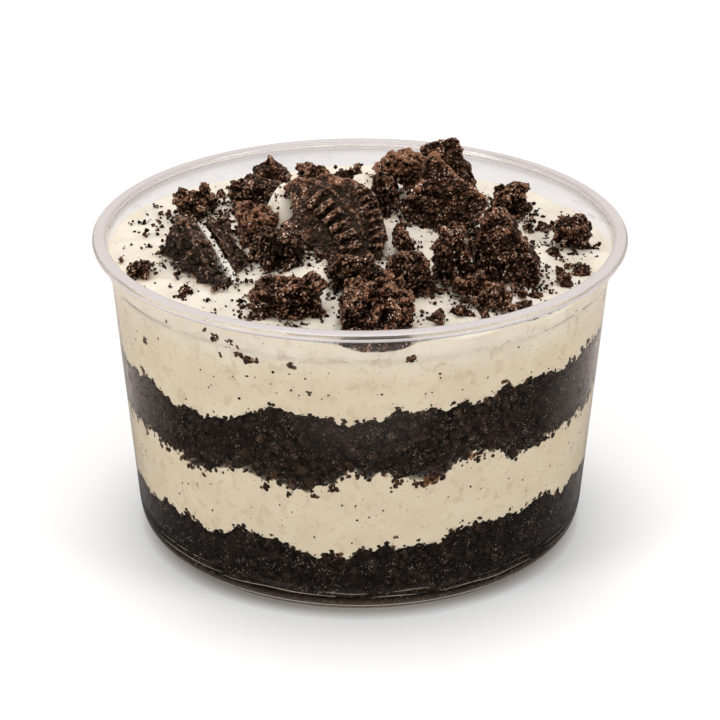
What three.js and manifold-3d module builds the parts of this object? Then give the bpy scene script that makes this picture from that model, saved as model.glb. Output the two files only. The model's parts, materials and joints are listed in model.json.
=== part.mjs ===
// Cookies and cream cheesecake in a clear round pot: two layers of dark cookie crumb, two layers of
// cream cheese filling, and a heap of broken chocolate sandwich cookies on top.
// Millimetres, +Z up. The origin is the centre of the base, on the surface that the pot stands on,
// and the side that faces the viewer is -Y.
import * as THREE from "three";
import { mergeVertices } from "three/addons/utils/BufferGeometryUtils.js";
import Module from "manifold-3d";

const wasm = await Module();
wasm.setup();

// Driving dimensions of the pot
const RIM_RADIUS = 50.5;
const POT_HEIGHT = 60;
const WALL_LOW_RADIUS = 43.6; // outside, where the base corner ends
const WALL_HIGH_RADIUS = 47.3; // outside, just under the stacking step
const STEP_HEIGHT = 53.4; // where the wall steps out, so that stacked pots don't jam
const STEP_RISE = 0.8;
const STEP_OUT = 0.5;
const WALL = 0.7;
const FLOOR = 0.9;
const CORNER = 5.4; // outside radius of the base corner
const FOOT_RADIUS = 35.6; // inner edge of the ring that the pot stands on
const PANEL_RAISE = 1.2; // how far the base panel sits above that ring
const RIM_DROP = 1.8; // height of the rim's outer lip
const RIM_WIDTH = 2.5; // flat top of the rim
const POT_SIDES = 56;

// Driving dimensions of the food
const FIT_GAP = 0.25; // between the pot's wall and the food
const LAYER_GAP = 0.3; // between neighbouring pieces of food
const FOOD_SIDES = 92; // round the wall; rings further in have half or a quarter of these
const FLOOR_HEIGHT = PANEL_RAISE + FLOOR;
const BASE_CRUMB_TOP = 14.9;
const MIDDLE_CRUMB_BOTTOM = 30.2;
const MIDDLE_CRUMB_TOP = 41.6;
const CRUMB_DENT = 0.9; // how far crumbs stand back from the wall between those that touch it
const CREAM_TOP = 55.6; // filling level at the wall
const MOUND_UP = 7; // how far the filling is heaped above that in the middle
const MOUND_SPREAD = 17;
const COOKIE_RADIUS = 21;
const WAFER = 4; // thickness of one wafer of the cookie
const FILLING = 1.4; // thickness of the cookie's own white filling

const DEGREE = Math.PI / 180;

const materials = {
  pot: new THREE.MeshStandardMaterial({
    color: 0xf1f3f4,
    roughness: 0.06,
    metalness: 0,
    transparent: true,
    opacity: 0.3,
  }),
  cream: new THREE.MeshStandardMaterial({ color: 0xe9dcc0, roughness: 0.45, metalness: 0 }),
  crumb: new THREE.MeshStandardMaterial({ color: 0x1d1512, roughness: 0.8, metalness: 0 }),
  cookie: new THREE.MeshStandardMaterial({ color: 0x271a14, roughness: 0.75, metalness: 0 }),
  filling: new THREE.MeshStandardMaterial({ color: 0xf4efe2, roughness: 0.5, metalness: 0 }),
};

// Repeatable scatter: a number from 0 to 1 for each pair of a and b.
function scatter(a, b) {
  const s = Math.sin(a * 12.9898 + b * 78.233 + 4.137) * 43758.5453;
  return s - Math.floor(s);
}

// Smooth noise from -1 to 1 in space, with features about one unit across.
function noise(x, y, z) {
  const [i, j, k] = [x, y, z].map(Math.floor);
  const [u, v, w] = [x - i, y - j, z - k].map((t) => t * t * (3 - 2 * t));
  let sum = 0;
  for (let corner = 0; corner < 8; corner++) {
    const [dx, dy, dz] = [corner & 1, (corner >> 1) & 1, corner >> 2];
    const share = (dx ? u : 1 - u) * (dy ? v : 1 - v) * (dz ? w : 1 - w);
    sum += share * scatter(i + dx + 57 * (k + dz), j + dy + 31 * (k + dz));
  }
  return 2 * sum - 1;
}

// A closed three.js geometry as a solid that can be joined and cut.
function solidFrom(geometry) {
  const bare = geometry.clone();
  bare.deleteAttribute("normal");
  bare.deleteAttribute("uv");
  const merged = mergeVertices(bare, 1e-4);
  return new wasm.Manifold(
    new wasm.Mesh({
      numProp: 3,
      vertProperties: new Float32Array(merged.attributes.position.array),
      triVerts: new Uint32Array(merged.index.array),
    }),
  );
}

// The largest single body of a solid, without the loose scraps that a cut can leave.
function mainBody(solid) {
  return solid.decompose().reduce((best, body) => (body.volume() > best.volume() ? body : best));
}

function geometryFrom(solid) {
  const mesh = solid.getMesh();
  const points = new Float32Array(mesh.numVert * 3);
  for (let i = 0; i < mesh.numVert; i++) {
    points.set(mesh.vertProperties.subarray(i * mesh.numProp, i * mesh.numProp + 3), i * 3);
  }
  const geometry = new THREE.BufferGeometry();
  geometry.setAttribute("position", new THREE.BufferAttribute(points, 3));
  geometry.setIndex(new THREE.BufferAttribute(new Uint32Array(mesh.triVerts), 1));
  geometry.computeVertexNormals();
  return geometry;
}

// A closed skin over a stack of rings, with a point at each end. From one ring to the next the number
// of points stays, halves or doubles.
function ringSolid(firstPoint, rings, lastPoint) {
  const starts = [];
  let total = 1;
  for (const ring of rings) {
    starts.push(total);
    total += ring.length;
  }
  const at = (ring, side) => starts[ring] + (side % rings[ring].length);
  const faces = [];
  rings[0].forEach((_, side) => faces.push(0, at(0, side + 1), at(0, side)));
  for (let ring = 0; ring + 1 < rings.length; ring++) {
    const [here, next] = [rings[ring].length, rings[ring + 1].length];
    for (let side = 0; side < Math.min(here, next); side++) {
      const low = (steps) => at(ring, side * (here > next ? 2 : 1) + steps);
      const high = (steps) => at(ring + 1, side * (next > here ? 2 : 1) + steps);
      if (here > next) {
        faces.push(low(0), low(1), high(0), low(1), high(1), high(0), low(1), low(2), high(1));
      } else if (next > here) {
        faces.push(low(0), high(1), high(0), low(0), low(1), high(1), low(1), high(2), high(1));
      } else {
        faces.push(low(0), low(1), high(1), low(0), high(1), high(0));
      }
    }
  }
  const last = rings.length - 1;
  rings[last].forEach((_, side) => faces.push(total, at(last, side), at(last, side + 1)));
  const geometry = new THREE.BufferGeometry();
  const points = [firstPoint, ...rings.flat(), lastPoint];
  geometry.setAttribute("position", new THREE.Float32BufferAttribute(points.flat(), 3));
  geometry.setIndex(faces);
  return geometry;
}

// Outside radius of the pot's wall at height z, from the base corner up to the rim.
function outerRadius(z) {
  const slope = (WALL_HIGH_RADIUS - WALL_LOW_RADIUS) / (STEP_HEIGHT - CORNER);
  const stepped = STEP_OUT * Math.min(1, Math.max(0, z - STEP_HEIGHT) / STEP_RISE);
  return WALL_LOW_RADIUS + slope * (z - CORNER) + stepped;
}

const INNER_CORNER = CORNER - WALL;
const INNER_CORNER_HEIGHT = FLOOR_HEIGHT + INNER_CORNER;
const INNER_CORNER_CENTRE = outerRadius(INNER_CORNER_HEIGHT) - WALL - INNER_CORNER;

// Inside radius of the pot at height z, rounded in towards the floor.
function innerRadius(z) {
  if (z >= INNER_CORNER_HEIGHT) return outerRadius(z) - WALL;
  const down = Math.min(INNER_CORNER_HEIGHT - z, INNER_CORNER);
  return INNER_CORNER_CENTRE + Math.sqrt(INNER_CORNER ** 2 - down ** 2);
}

// Points of a quarter round in the pot's profile, from one angle in degrees to another.
function arc(centreR, centreZ, radius, from, to, steps) {
  const points = [];
  for (let i = 0; i <= steps; i++) {
    const angle = (from + ((to - from) * i) / steps) * DEGREE;
    const r = centreR + radius * Math.cos(angle);
    points.push(new THREE.Vector2(r, centreZ + radius * Math.sin(angle)));
  }
  return points;
}

function potGeometry() {
  const lipBottom = POT_HEIGHT - RIM_DROP;
  const stepTop = STEP_HEIGHT + STEP_RISE;
  const flare = 0.7; // how far below the lip the wall turns out into it
  const shoulder = 2.4; // how far below the rim the wall's inner face turns out
  const inner = (z) => new THREE.Vector2(innerRadius(z), z);
  const outer = (z) => new THREE.Vector2(outerRadius(z), z);
  const profile = [
    new THREE.Vector2(0, PANEL_RAISE),
    new THREE.Vector2(FOOT_RADIUS - PANEL_RAISE, PANEL_RAISE),
    new THREE.Vector2(FOOT_RADIUS, 0),
    ...arc(WALL_LOW_RADIUS - CORNER, CORNER, CORNER, -90, 0, 4),
    outer(STEP_HEIGHT),
    outer(stepTop),
    outer(lipBottom - flare),
    new THREE.Vector2(outerRadius(lipBottom) + flare, lipBottom),
    new THREE.Vector2(RIM_RADIUS - 0.3, lipBottom),
    new THREE.Vector2(RIM_RADIUS, lipBottom + 0.4),
    new THREE.Vector2(RIM_RADIUS, POT_HEIGHT - 0.5),
    new THREE.Vector2(RIM_RADIUS - 0.5, POT_HEIGHT),
    new THREE.Vector2(RIM_RADIUS - RIM_WIDTH, POT_HEIGHT),
    inner(POT_HEIGHT - shoulder),
    inner(stepTop),
    inner(STEP_HEIGHT),
    ...arc(INNER_CORNER_CENTRE, INNER_CORNER_HEIGHT, INNER_CORNER, 0, -90, 3),
    new THREE.Vector2(0, FLOOR_HEIGHT),
  ];
  return new THREE.LatheGeometry(profile, POT_SIDES).rotateX(Math.PI / 2);
}

// The free space inside the pot, which a topping at the wall may fill.
function hollowGeometry() {
  const shoulder = POT_HEIGHT - 2.4;
  const wall = [FLOOR_HEIGHT + CORNER, STEP_HEIGHT, STEP_HEIGHT + STEP_RISE, shoulder, POT_HEIGHT + 30];
  const profile = wall.map((z) => new THREE.Vector2(innerRadius(Math.min(z, shoulder)) - FIT_GAP, z));
  const ends = [new THREE.Vector2(0, wall[0]), new THREE.Vector2(0, wall.at(-1))];
  return new THREE.LatheGeometry([ends[0], ...profile, ends[1]], FOOD_SIDES).rotateX(Math.PI / 2);
}

// One rounded hump in a layer's edge, centred on an angle in degrees from the front, towards +X.
function hump(angle, centre, height, width) {
  const apart = ((angle - centre + 540) % 360) - 180;
  return height * Math.exp(-0.5 * (apart / width) ** 2);
}

// Each boundary between layers, as its edge runs round the wall: a level, a lean up to the right, its
// own humps [angle, height, width], and a crumbly unevenness.
const BASE_TOP = {
  level: BASE_CRUMB_TOP,
  lean: 1.3,
  humps: [[-27, 2, 5], [-6, -1.9, 4], [26, 2, 4], [38, 1.8, 4], [51, 2.2, 4], [-100, 2, 9], [150, 2.2, 8]],
  rough: 0.8,
  seed: 3,
};
const MIDDLE_BOTTOM = {
  level: MIDDLE_CRUMB_BOTTOM,
  lean: 1.5,
  humps: [
    [-42, -2.6, 4], [-14, -2.6, 4], [16, -1.8, 3], [26, 2, 5], [42, -1.6, 6], [110, -2.2, 6], [-130, -2, 7],
  ],
  rough: 0.7,
  seed: 11,
};
const MIDDLE_TOP = {
  level: MIDDLE_CRUMB_TOP,
  lean: 2.3,
  humps: [[-38, -1.6, 8], [-22, 2.5, 5], [32, 1.4, 11], [120, 1.8, 10], [-120, 2, 9], [180, -1.8, 12]],
  rough: 0.7,
  seed: 23,
};

// Height of a boundary at an angle and a share of the way out to the wall. It calms inwards.
function boundaryHeight({ level, lean, humps, rough, seed }, angle, share) {
  const x = Math.sin(angle * DEGREE);
  const y = Math.cos(angle * DEGREE);
  let rise = lean * x;
  rise += rough * noise(14 * x + seed, 14 * y, seed);
  rise += 0.8 * rough * noise(5 * x, 5 * y + seed, seed + 9);
  for (const [centre, height, width] of humps) rise += hump(angle, centre, height, width);
  return level + share * share * rise;
}

// How far the filling's top drops for each millimetre to the back and to the right
const CREAM_LEAN_BACK = 0.036;
const CREAM_LEAN_RIGHT = 0.013;

// Soft peaks where the filling was spooned on, and the hollow that the cookie at the front presses in.
const DOLLOPS = [
  { x: -13.5, y: -1, up: 3.6, spread: 4.4 },
  { x: 2, y: 14, up: 4, spread: 6 },
  { x: -11, y: -23, up: 1.6, spread: 4 },
  { x: 11, y: -11, up: 1.8, spread: 5 },
  { x: 24, y: 4, up: 1.5, spread: 5 },
  { x: -35, y: -6, up: 2, spread: 5 },
  { x: 4, y: 34, up: 1.2, spread: 6 },
  { x: 2.8, y: -42, up: -1.8, spread: 5.5 },
];

// Height of the filling's bare top: level, lean, mound, dollops and low spooned ridges.
function creamHeight(x, y) {
  let z = CREAM_TOP - CREAM_LEAN_BACK * y - CREAM_LEAN_RIGHT * x;
  z += MOUND_UP * Math.exp(-((x + 2) ** 2 + (y - 3) ** 2) / (2 * MOUND_SPREAD ** 2));
  for (const { x: cx, y: cy, up, spread } of DOLLOPS) {
    z += up * Math.exp(-((x - cx) ** 2 + (y - cy) ** 2) / (2 * spread ** 2));
  }
  const across = Math.sin(0.34 * x + 0.21 * y + 1.3 * Math.sin(0.13 * y));
  return z + 0.35 * across * Math.sin(0.24 * y - 0.11 * x + 0.7);
}

// A ring of points round the pot's axis, at the radius and height that two functions give.
function ringAt(sides, radiusOf, heightOf) {
  const ring = [];
  for (let side = 0; side < sides; side++) {
    const angle = (360 * side) / sides;
    const z = heightOf(angle);
    const r = radiusOf(angle, z);
    ring.push([r * Math.sin(angle * DEGREE), -r * Math.cos(angle * DEGREE), z]);
  }
  return ring;
}

const inside = (z) => innerRadius(z) - FIT_GAP;
const dent = (angle, row) => CRUMB_DENT * scatter(Math.round(angle * 10), row * 7 + 1);

// The rings across a boundary from near the middle out to near the wall, the gap to one side of it.
function acrossBoundary(edge, gap) {
  const stages = [[0.3, FOOD_SIDES / 4], [0.62, FOOD_SIDES / 2], [0.88, FOOD_SIDES / 2]];
  return stages.map(([share, sides]) =>
    ringAt(sides, (_, z) => share * inside(z), (angle) => boundaryHeight(edge, angle, share) + gap),
  );
}

// The rings up the wall from one height to another, set back by the crumbs' dents where it has them.
function upTheWall(low, high, rows, dented, firstRow = 0) {
  const rings = [];
  for (let row = firstRow; row <= rows; row++) {
    const heightOf = (angle) => low(angle) + ((high(angle) - low(angle)) * row) / rows;
    rings.push(ringAt(FOOD_SIDES, (angle, z) => inside(z) - dented * dent(angle, row), heightOf));
  }
  return rings;
}

function layerGeometry(bottomEdge, topEdge, rows, dented) {
  const gap = LAYER_GAP / 2;
  const low = (angle) => boundaryHeight(bottomEdge, angle, 1) + gap;
  const high = (angle) => boundaryHeight(topEdge, angle, 1) - gap;
  const rings = [
    ...acrossBoundary(bottomEdge, gap),
    ...upTheWall(low, high, rows, dented),
    ...acrossBoundary(topEdge, -gap).reverse(),
  ];
  return ringSolid([0, 0, bottomEdge.level + gap], rings, [0, 0, topEdge.level - gap]);
}

// The base crumb lies on the pot's floor and fills its rounded corner.
function baseCrumbGeometry() {
  const floor = FLOOR_HEIGHT + FIT_GAP;
  const gap = LAYER_GAP / 2;
  const corner = [0.5, 1.6, 3.4].map((up, row) =>
    ringAt(FOOD_SIDES, (angle, z) => inside(z) - FIT_GAP - 0.5 * dent(angle, row + 10), () => floor + up),
  );
  const cornerTop = () => floor + 3.4;
  const high = (angle) => boundaryHeight(BASE_TOP, angle, 1) - gap;
  const rings = [
    ringAt(FOOD_SIDES / 2, () => innerRadius(floor) - 2.5, () => floor),
    ...corner,
    ...upTheWall(cornerTop, high, 4, 1, 1),
    ...acrossBoundary(BASE_TOP, -gap).reverse(),
  ];
  return ringSolid([0, 0, floor], rings, [0, 0, BASE_TOP.level - gap]);
}

// The upper filling, from the middle crumb to the heaped top, which can be raised by a clearance.
function upperCream(raise = 0) {
  const gap = LAYER_GAP / 2;
  const low = (angle) => boundaryHeight(MIDDLE_TOP, angle, 1) + gap;
  const topRing = ([share, sides]) => {
    const radius = share * inside(CREAM_TOP);
    const heightOf = (angle) =>
      creamHeight(radius * Math.sin(angle * DEGREE), -radius * Math.cos(angle * DEGREE)) + raise;
    return ringAt(sides, (_, z) => (share === 1 ? inside(z) : radius), heightOf);
  };
  const whole = [1, 0.96];
  const half = [0.89, 0.81, 0.72, 0.63, 0.54, 0.45];
  const quarter = [0.35, 0.24, 0.12];
  const top = [
    ...whole.map((share) => [share, FOOD_SIDES]),
    ...half.map((share) => [share, FOOD_SIDES / 2]),
    ...quarter.map((share) => [share, FOOD_SIDES / 4]),
  ];
  const rings = [
    ...acrossBoundary(MIDDLE_TOP, gap),
    ringAt(FOOD_SIDES, (_, z) => inside(z), low),
    ringAt(FOOD_SIDES, (_, z) => inside(z), () => STEP_HEIGHT),
    ...top.map(topRing),
  ];
  const peak = [0, 0, creamHeight(0, 0) + raise];
  return solidFrom(ringSolid([0, 0, MIDDLE_TOP.level + gap], rings, peak));
}

// A crumbly lump of broken cookie. boxy goes from 2, round, to 6, nearly a block; taper narrows its
// top and lean shifts it; horns are smaller lumps that grow out of it.
function lumpSolid(shape) {
  const { size, seed, detail = 1, boxy = 2.6, taper = 0, lean = [0, 0], rough = 0.16, horns = [] } = shape;
  const geometry = new THREE.IcosahedronGeometry(1, detail);
  geometry.rotateX(seed).rotateY(2 * seed);
  const points = geometry.attributes.position;
  for (let i = 0; i < points.count; i++) {
    const p = new THREE.Vector3().fromBufferAttribute(points, i);
    const blocky = (Math.abs(p.x) ** boxy + Math.abs(p.y) ** boxy + Math.abs(p.z) ** boxy) ** (-1 / boxy);
    p.multiplyScalar(blocky);
    const broad = noise(1.6 * p.x + seed, 1.6 * p.y, 1.6 * p.z);
    const fine = noise(3.7 * p.x, 3.7 * p.y + seed, 3.7 * p.z);
    p.multiplyScalar(1 + rough * (broad + 0.8 * fine));
    const up = (p.z + 1) / 2;
    p.x = p.x * (1 - taper * up) + lean[0] * up;
    p.y = p.y * (1 - taper * up) + lean[1] * up;
    points.setXYZ(i, (p.x * size[0]) / 2, (p.y * size[1]) / 2, (p.z * size[2]) / 2);
  }
  let solid = solidFrom(geometry);
  horns.forEach(([x, y, z, across, tall], index) => {
    const horn = lumpSolid({ size: [across, across, tall], seed: seed + index + 1, detail: 0 });
    solid = solid.add(horn.translate([x, y, z]));
  });
  return mainBody(solid);
}

// Puts a solid, made round the origin, in its place and turned about Z.
function laidAt(solid, at, turn = 0) {
  return solid.rotate([0, 0, turn]).translate(at);
}

// Stands a flat piece, made in the XY plane, so that its face looks along a direction and its own
// X axis stays level.
function facing(solid, direction, at) {
  const z = new THREE.Vector3(...direction).normalize();
  const x = new THREE.Vector3(0, 0, 1).cross(z).normalize();
  const y = new THREE.Vector3().crossVectors(z, x);
  return solid.transform(new THREE.Matrix4().makeBasis(x, y, z).setPosition(...at).elements);
}

// A flat piece between an outline's corners, rough along its broken sides. Its outer face is at z = 0.
function slab(shape, thickness, seed, rough = 0.35) {
  const plate = new THREE.ExtrudeGeometry(shape, {
    depth: thickness,
    steps: 2,
    curveSegments: 6,
    bevelEnabled: false,
  });
  plate.translate(0, 0, -thickness);
  const points = plate.attributes.position;
  for (let i = 0; i < points.count; i++) {
    const [x, y, z] = [points.getX(i), points.getY(i), points.getZ(i)];
    const shift = (lane) => rough * noise(2.3 * x + seed, 2.3 * y + lane, 1.9 * z);
    points.setXYZ(i, x + shift(0), y + shift(7), z);
  }
  return solidFrom(plate);
}

function shapeThrough(corners, shape = new THREE.Shape()) {
  corners.forEach(([x, y], index) => {
    if (index === 0 && shape.curves.length === 0) shape.moveTo(x, y);
    else shape.lineTo(x, y);
  });
  return shape;
}

// Raised bars that point away from a cookie's middle, side by side from one angle to another.
function radialBars({ middle, radius, length, width, height, from, to, count }) {
  const bars = [];
  for (let i = 0; i < count; i++) {
    const bar = new THREE.BoxGeometry(length, width, 2 * height);
    bar.translate(radius, 0, 0);
    bar.rotateZ((from + ((to - from) * i) / (count - 1)) * DEGREE);
    bar.translate(middle[0], middle[1], 0);
    bars.push(solidFrom(bar));
  }
  return bars;
}

// The large fragment that leans on the heap, its face to the viewer: part of the rim, with short
// ribs along it, and a ring of raised bars further in.
function ribbedWafer() {
  const rimMiddle = [-11, -4.6];
  const ringMiddle = [-9.5, -8.6];
  const shape = new THREE.Shape();
  shape.absarc(...rimMiddle, COOKIE_RADIUS, -8 * DEGREE, 31 * DEGREE, false);
  const broken = [
    [2.2, 8.2], [-1.3, 9.3], [-6.6, 7.9], [-10.5, 5.9], [-8.1, 4.2], [-8, 0], [-9.7, -1], [-6.3, -4.2],
    [0, -8.7], [5.6, -8.6],
  ];
  let solid = slab(shapeThrough(broken, shape), WAFER, 31);
  const bars = radialBars({
    middle: ringMiddle, radius: 12.9, from: 12, to: 64, count: 6,
    length: 3.4, width: 1.1, height: 0.55,
  });
  const ribs = radialBars({
    middle: rimMiddle, radius: COOKIE_RADIUS - 1.3, from: -5, to: 28, count: 8,
    length: 2, width: 0.8, height: 0.45,
  });
  for (const bar of [...bars, ...ribs]) solid = solid.add(bar);
  return mainBody(solid);
}

// The sandwich fragment that stands in the filling at the left, broken edge up: two wafers with the
// white filling between them, stacked away from the face that the viewer sees.
const SANDWICH_FACE = [-0.76, -0.54, 0.36];
const SANDWICH_AT = [-30.9, -17.2, 62.3];
const INNER_WAFER = 5.2; // its thickness, with the crumb that clings to it
function sandwichPieces() {
  const away = new THREE.Vector3(...SANDWICH_FACE).normalize();
  const outer = [
    [-8.5, 3], [-10, -0.2], [-10.4, -3], [-5, -8], [9, -8],
    [10.8, -4.3], [2.8, 0.7], [-4.2, 4.4], [-7.4, 5.1],
  ];
  const middle = [[-6.6, 4.2], [-7.4, -3], [-5, -7], [9, -7], [11.7, -2.8], [-0.2, 1.8]];
  const inner = [
    [-7.5, 3.5], [-7, -4], [0, -8], [7, -7], [8.8, -3.1],
    [4.2, 0.4], [-2, 3], [-4.6, 4.2], [-6.1, 5.5],
  ];
  const slices = [
    ["sandwich_wafer_outer", outer, 0, WAFER, "cookie", 0.4],
    ["sandwich_filling", middle, WAFER + LAYER_GAP, FILLING, "filling", 0.15],
    ["sandwich_wafer_inner", inner, WAFER + FILLING + 2 * LAYER_GAP, INNER_WAFER, "cookie", 0.4],
  ];
  return slices.map(([name, corners, depth, thickness, material, rough], index) => {
    const at = new THREE.Vector3(...SANDWICH_AT).addScaledVector(away, -depth).toArray();
    const plate = slab(shapeThrough(corners), thickness, 4 + 5 * index, rough);
    return { name, solid: facing(plate, SANDWICH_FACE, at), material };
  });
}

// Plain wafer fragments: the way that the face looks, its place, and the outline on the face.
const WAFERS = [
  {
    name: "wafer_right_peak",
    face: [-0.1, -0.78, 0.62],
    at: [15.6, 0.7, 66.9],
    outline: [
      [-1.7, 7.4], [-3.8, 5.2], [-5.4, 1.5], [-8.6, -3.6], [-6.3, -6.6], [-1.9, -7.8], [3.7, -7.5], [7, -5.6],
      [9, -1], [6.3, 1.1], [2.2, 4.2],
    ],
  },
  {
    name: "wafer_back_upright",
    face: [0.1, -0.85, 0.52],
    at: [17.9, 25.7, 63.6],
    outline: [
      [-5.6, 3.7], [-6.5, -2], [-5, -8], [4.5, -8], [5.6, -3],
      [3.4, 0.7], [2.7, 4.3], [1.3, 5.2], [-2.1, 4.3],
    ],
  },
];

// Lumps of broken cookie, each under its name after "chunk_": where it lies, its size and its shape.
// turn is about Z in degrees. Without detail it is a small one of few sides.
const LUMPS = {
  right_pyramid: {
    at: [27.5, -17.4, 62.6], size: [15.4, 11.4, 15.2],
    detail: 2, boxy: 3.4, taper: 0.66, lean: [-0.4, 0.2],
  },
  front_wall: { at: [2.8, -39.4, 60.2], size: [12.6, 9.6, 10.6], detail: 2, boxy: 5, rough: 0.1 },
  front_left_bar: {
    at: [-12.7, -34.2, 60.2], size: [13.4, 8.4, 8.2],
    turn: 6, detail: 2, boxy: 4, rough: 0.12,
  },
  under_ribbed_left: { at: [-1.2, -24.9, 61.2], size: [10, 7.8, 7.6], detail: 2, boxy: 3 },
  under_ribbed_right: {
    at: [8.8, -25.8, 61.2], size: [10.4, 8, 8.8],
    turn: 20, detail: 2, boxy: 3, taper: 0.3,
  },
  middle_right: {
    at: [17.2, -20.6, 62.7], size: [9, 7.4, 12.4],
    detail: 2, boxy: 3, taper: 0.3, lean: [-0.2, 0],
  },
  left_dark: { at: [-14.4, -17.6, 62.4], size: [8.8, 7.4, 9], detail: 2, boxy: 3 },
  left_brown: { at: [-18.8, -4.4, 62.4], size: [9.6, 8, 7.8], detail: 2, boxy: 3.4 },
  left_back_layered: {
    at: [-20.8, 14.8, 61.2], size: [11, 7.4, 6.4],
    turn: -6, detail: 2, boxy: 4, rough: 0.1,
  },
  left_back_knobbly: {
    at: [-32.4, 14.2, 59], size: [8.6, 7.6, 6.8],
    detail: 2, horns: [[2.2, 0, 3.2, 3, 4.4], [-2.2, 0.4, 2.6, 2.8, 3.2]],
  },
  back_left: { at: [-17.4, 29.6, 59.2], size: [7.4, 6.6, 6.4], horns: [[-0.6, 0, 3, 3, 3.4]] },
  back_middle_left: { at: [-9.6, 34, 58.1], size: [6.4, 5.6, 4.8] },
  back_middle: {
    at: [-2.7, 28.6, 59.8], size: [6, 4.4, 4.4],
    lean: [0.3, 0], horns: [[2.2, 0, 1.8, 2.2, 3.4]],
  },
  back_top_brown: {
    at: [7.6, 11.6, 67.4], size: [10.2, 8, 8],
    turn: -8, detail: 2, boxy: 3, lean: [0.2, 0],
  },
  centre_small: { at: [4.8, 1.6, 65.6], size: [6.4, 6, 8.2], lean: [-0.3, 0] },
  right_back_round: { at: [29.6, 15.6, 59.2], size: [7.8, 7, 8.4], detail: 2, boxy: 3 },
  right_edge: { at: [40.4, 1.4, 58], size: [8.2, 7.4, 6.4], boxy: 2.8 },
  front_right_low: { at: [24.6, -31, 58.5], size: [6.4, 5.6, 5.4], boxy: 3 },
  front_right_small: { at: [19.1, -27, 58.9], size: [5, 4.4, 5] },
  centre_crumb: { at: [7.6, -14.2, 62.4], size: [4.2, 4.2, 4.2] },
  left_edge_small: { at: [-39.7, -18, 58.3], size: [4.8, 4.4, 4.2] },
};

// A copy of a solid grown by a clearance on every side of its box.
function grown(solid, clearance) {
  const { min, max } = solid.boundingBox();
  const middle = [0, 1, 2].map((i) => (max[i] + min[i]) / 2);
  const factors = [0, 1, 2].map((i) => 1 + (2 * clearance) / (max[i] - min[i]));
  return solid.translate(middle.map((m) => -m)).scale(factors).translate(middle);
}

function boxesMeet(a, b) {
  const [p, q] = [a.boundingBox(), b.boundingBox()];
  return [0, 1, 2].every((i) => p.min[i] < q.max[i] && q.min[i] < p.max[i]);
}

// The cookie pieces on top, each fitted to the filling, to the pot and to the pieces laid before it.
function toppings() {
  const ribbed = facing(ribbedWafer(), [-0.08, -0.72, 0.69], [-5, -11.6, 66.5]);
  const pieces = [
    ...sandwichPieces(),
    { name: "wafer_front_ribbed", solid: ribbed, material: "cookie" },
    ...WAFERS.map(({ name, face, at, outline }, index) => ({
      name,
      solid: facing(slab(shapeThrough(outline), WAFER, 40 + 9 * index, 0.5), face, at),
      material: "cookie",
    })),
    ...Object.entries(LUMPS).map(([name, lump], index) => ({
      name: "chunk_" + name,
      solid: laidAt(lumpSolid({ ...lump, seed: 5 + 3 * index }), lump.at, lump.turn),
      material: "cookie",
    })),
  ];
  const bed = upperCream(LAYER_GAP);
  const hollow = solidFrom(hollowGeometry());
  const laid = [];
  for (const piece of pieces) {
    let solid = piece.solid.subtract(bed).intersect(hollow);
    for (const other of laid) {
      if (boxesMeet(solid, other.solid)) solid = solid.subtract(grown(other.solid, LAYER_GAP));
    }
    laid.push({ ...piece, solid: mainBody(solid) });
  }
  return laid;
}

// Crumbs fused to the filling: those that stand out in the picture as [x, y, size], then a scatter
// over all of the top, the larger ones rare.
const KNOWN_CRUMBS = [
  [-31.4, -29, 3.8], [-36.2, -23.2, 2.2], [-44.2, -10.6, 1.6], [-28.2, 27, 2.4], [10.8, -33.5, 2.6],
  [13.7, -37.7, 3], [17.6, -34.1, 2.8], [32.8, -23.8, 2.9], [36.6, -13.4, 2.4], [37.6, -18.5, 3.9],
  [41.5, -12.5, 2.8], [36.7, -3.6, 2.5], [35.7, 9.6, 2.5], [29, -26.4, 2.6],
];
const SCATTERED_CRUMBS = 50;
const SMALLEST_CRUMB = 1.3;
const LARGEST_CRUMB = 2.6;

function scatteredCrumb(index) {
  const radius = 43 * Math.sqrt((index + 0.5) / SCATTERED_CRUMBS) + scatter(index, 1) - 0.5;
  const angle = index * 2.39996 + 0.5 * scatter(index, 2);
  const size = SMALLEST_CRUMB + (LARGEST_CRUMB - SMALLEST_CRUMB) * scatter(index, 3) ** 2;
  return [radius * Math.cos(angle), radius * Math.sin(angle), size];
}

// Whether a crumb keeps clear of a box round a piece.
function clearOf({ min, max }, [x, y], reach) {
  return x + reach < min[0] || x - reach > max[0] || y + reach < min[1] || y - reach > max[1];
}

function creamWithCrumbs(laid) {
  const spots = [...KNOWN_CRUMBS];
  for (let index = 0; index < SCATTERED_CRUMBS; index++) spots.push(scatteredCrumb(index));
  const boxes = laid.map(({ solid }) => solid.boundingBox());
  let solid = upperCream();
  spots.forEach(([x, y, size], index) => {
    const reach = 0.55 * size + LAYER_GAP;
    if (!boxes.every((box) => clearOf(box, [x, y], reach))) return;
    const crumb = lumpSolid({ size: [size, size, size], seed: 200 + index, detail: 0 });
    const at = [x, y, creamHeight(x, y) + 0.2 * size];
    solid = solid.add(laidAt(crumb, at, 70 * index));
    boxes.push(crumb.translate(at).boundingBox());
  });
  return mainBody(solid);
}

const root = new THREE.Group();

function addMesh(name, geometry, material) {
  const mesh = new THREE.Mesh(geometry, materials[material]);
  mesh.name = name;
  root.add(mesh);
}

addMesh("pot", potGeometry(), "pot");
addMesh("crumb_base", baseCrumbGeometry(), "crumb");
addMesh("cream_lower", layerGeometry(BASE_TOP, MIDDLE_BOTTOM, 2, 0), "cream");
addMesh("crumb_middle", layerGeometry(MIDDLE_BOTTOM, MIDDLE_TOP, 4, 1), "crumb");
const laid = toppings();
addMesh("cream_upper", geometryFrom(creamWithCrumbs(laid)), "cream");
for (const { name, solid, material } of laid) addMesh(name, geometryFrom(solid), material);

export default root;
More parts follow.
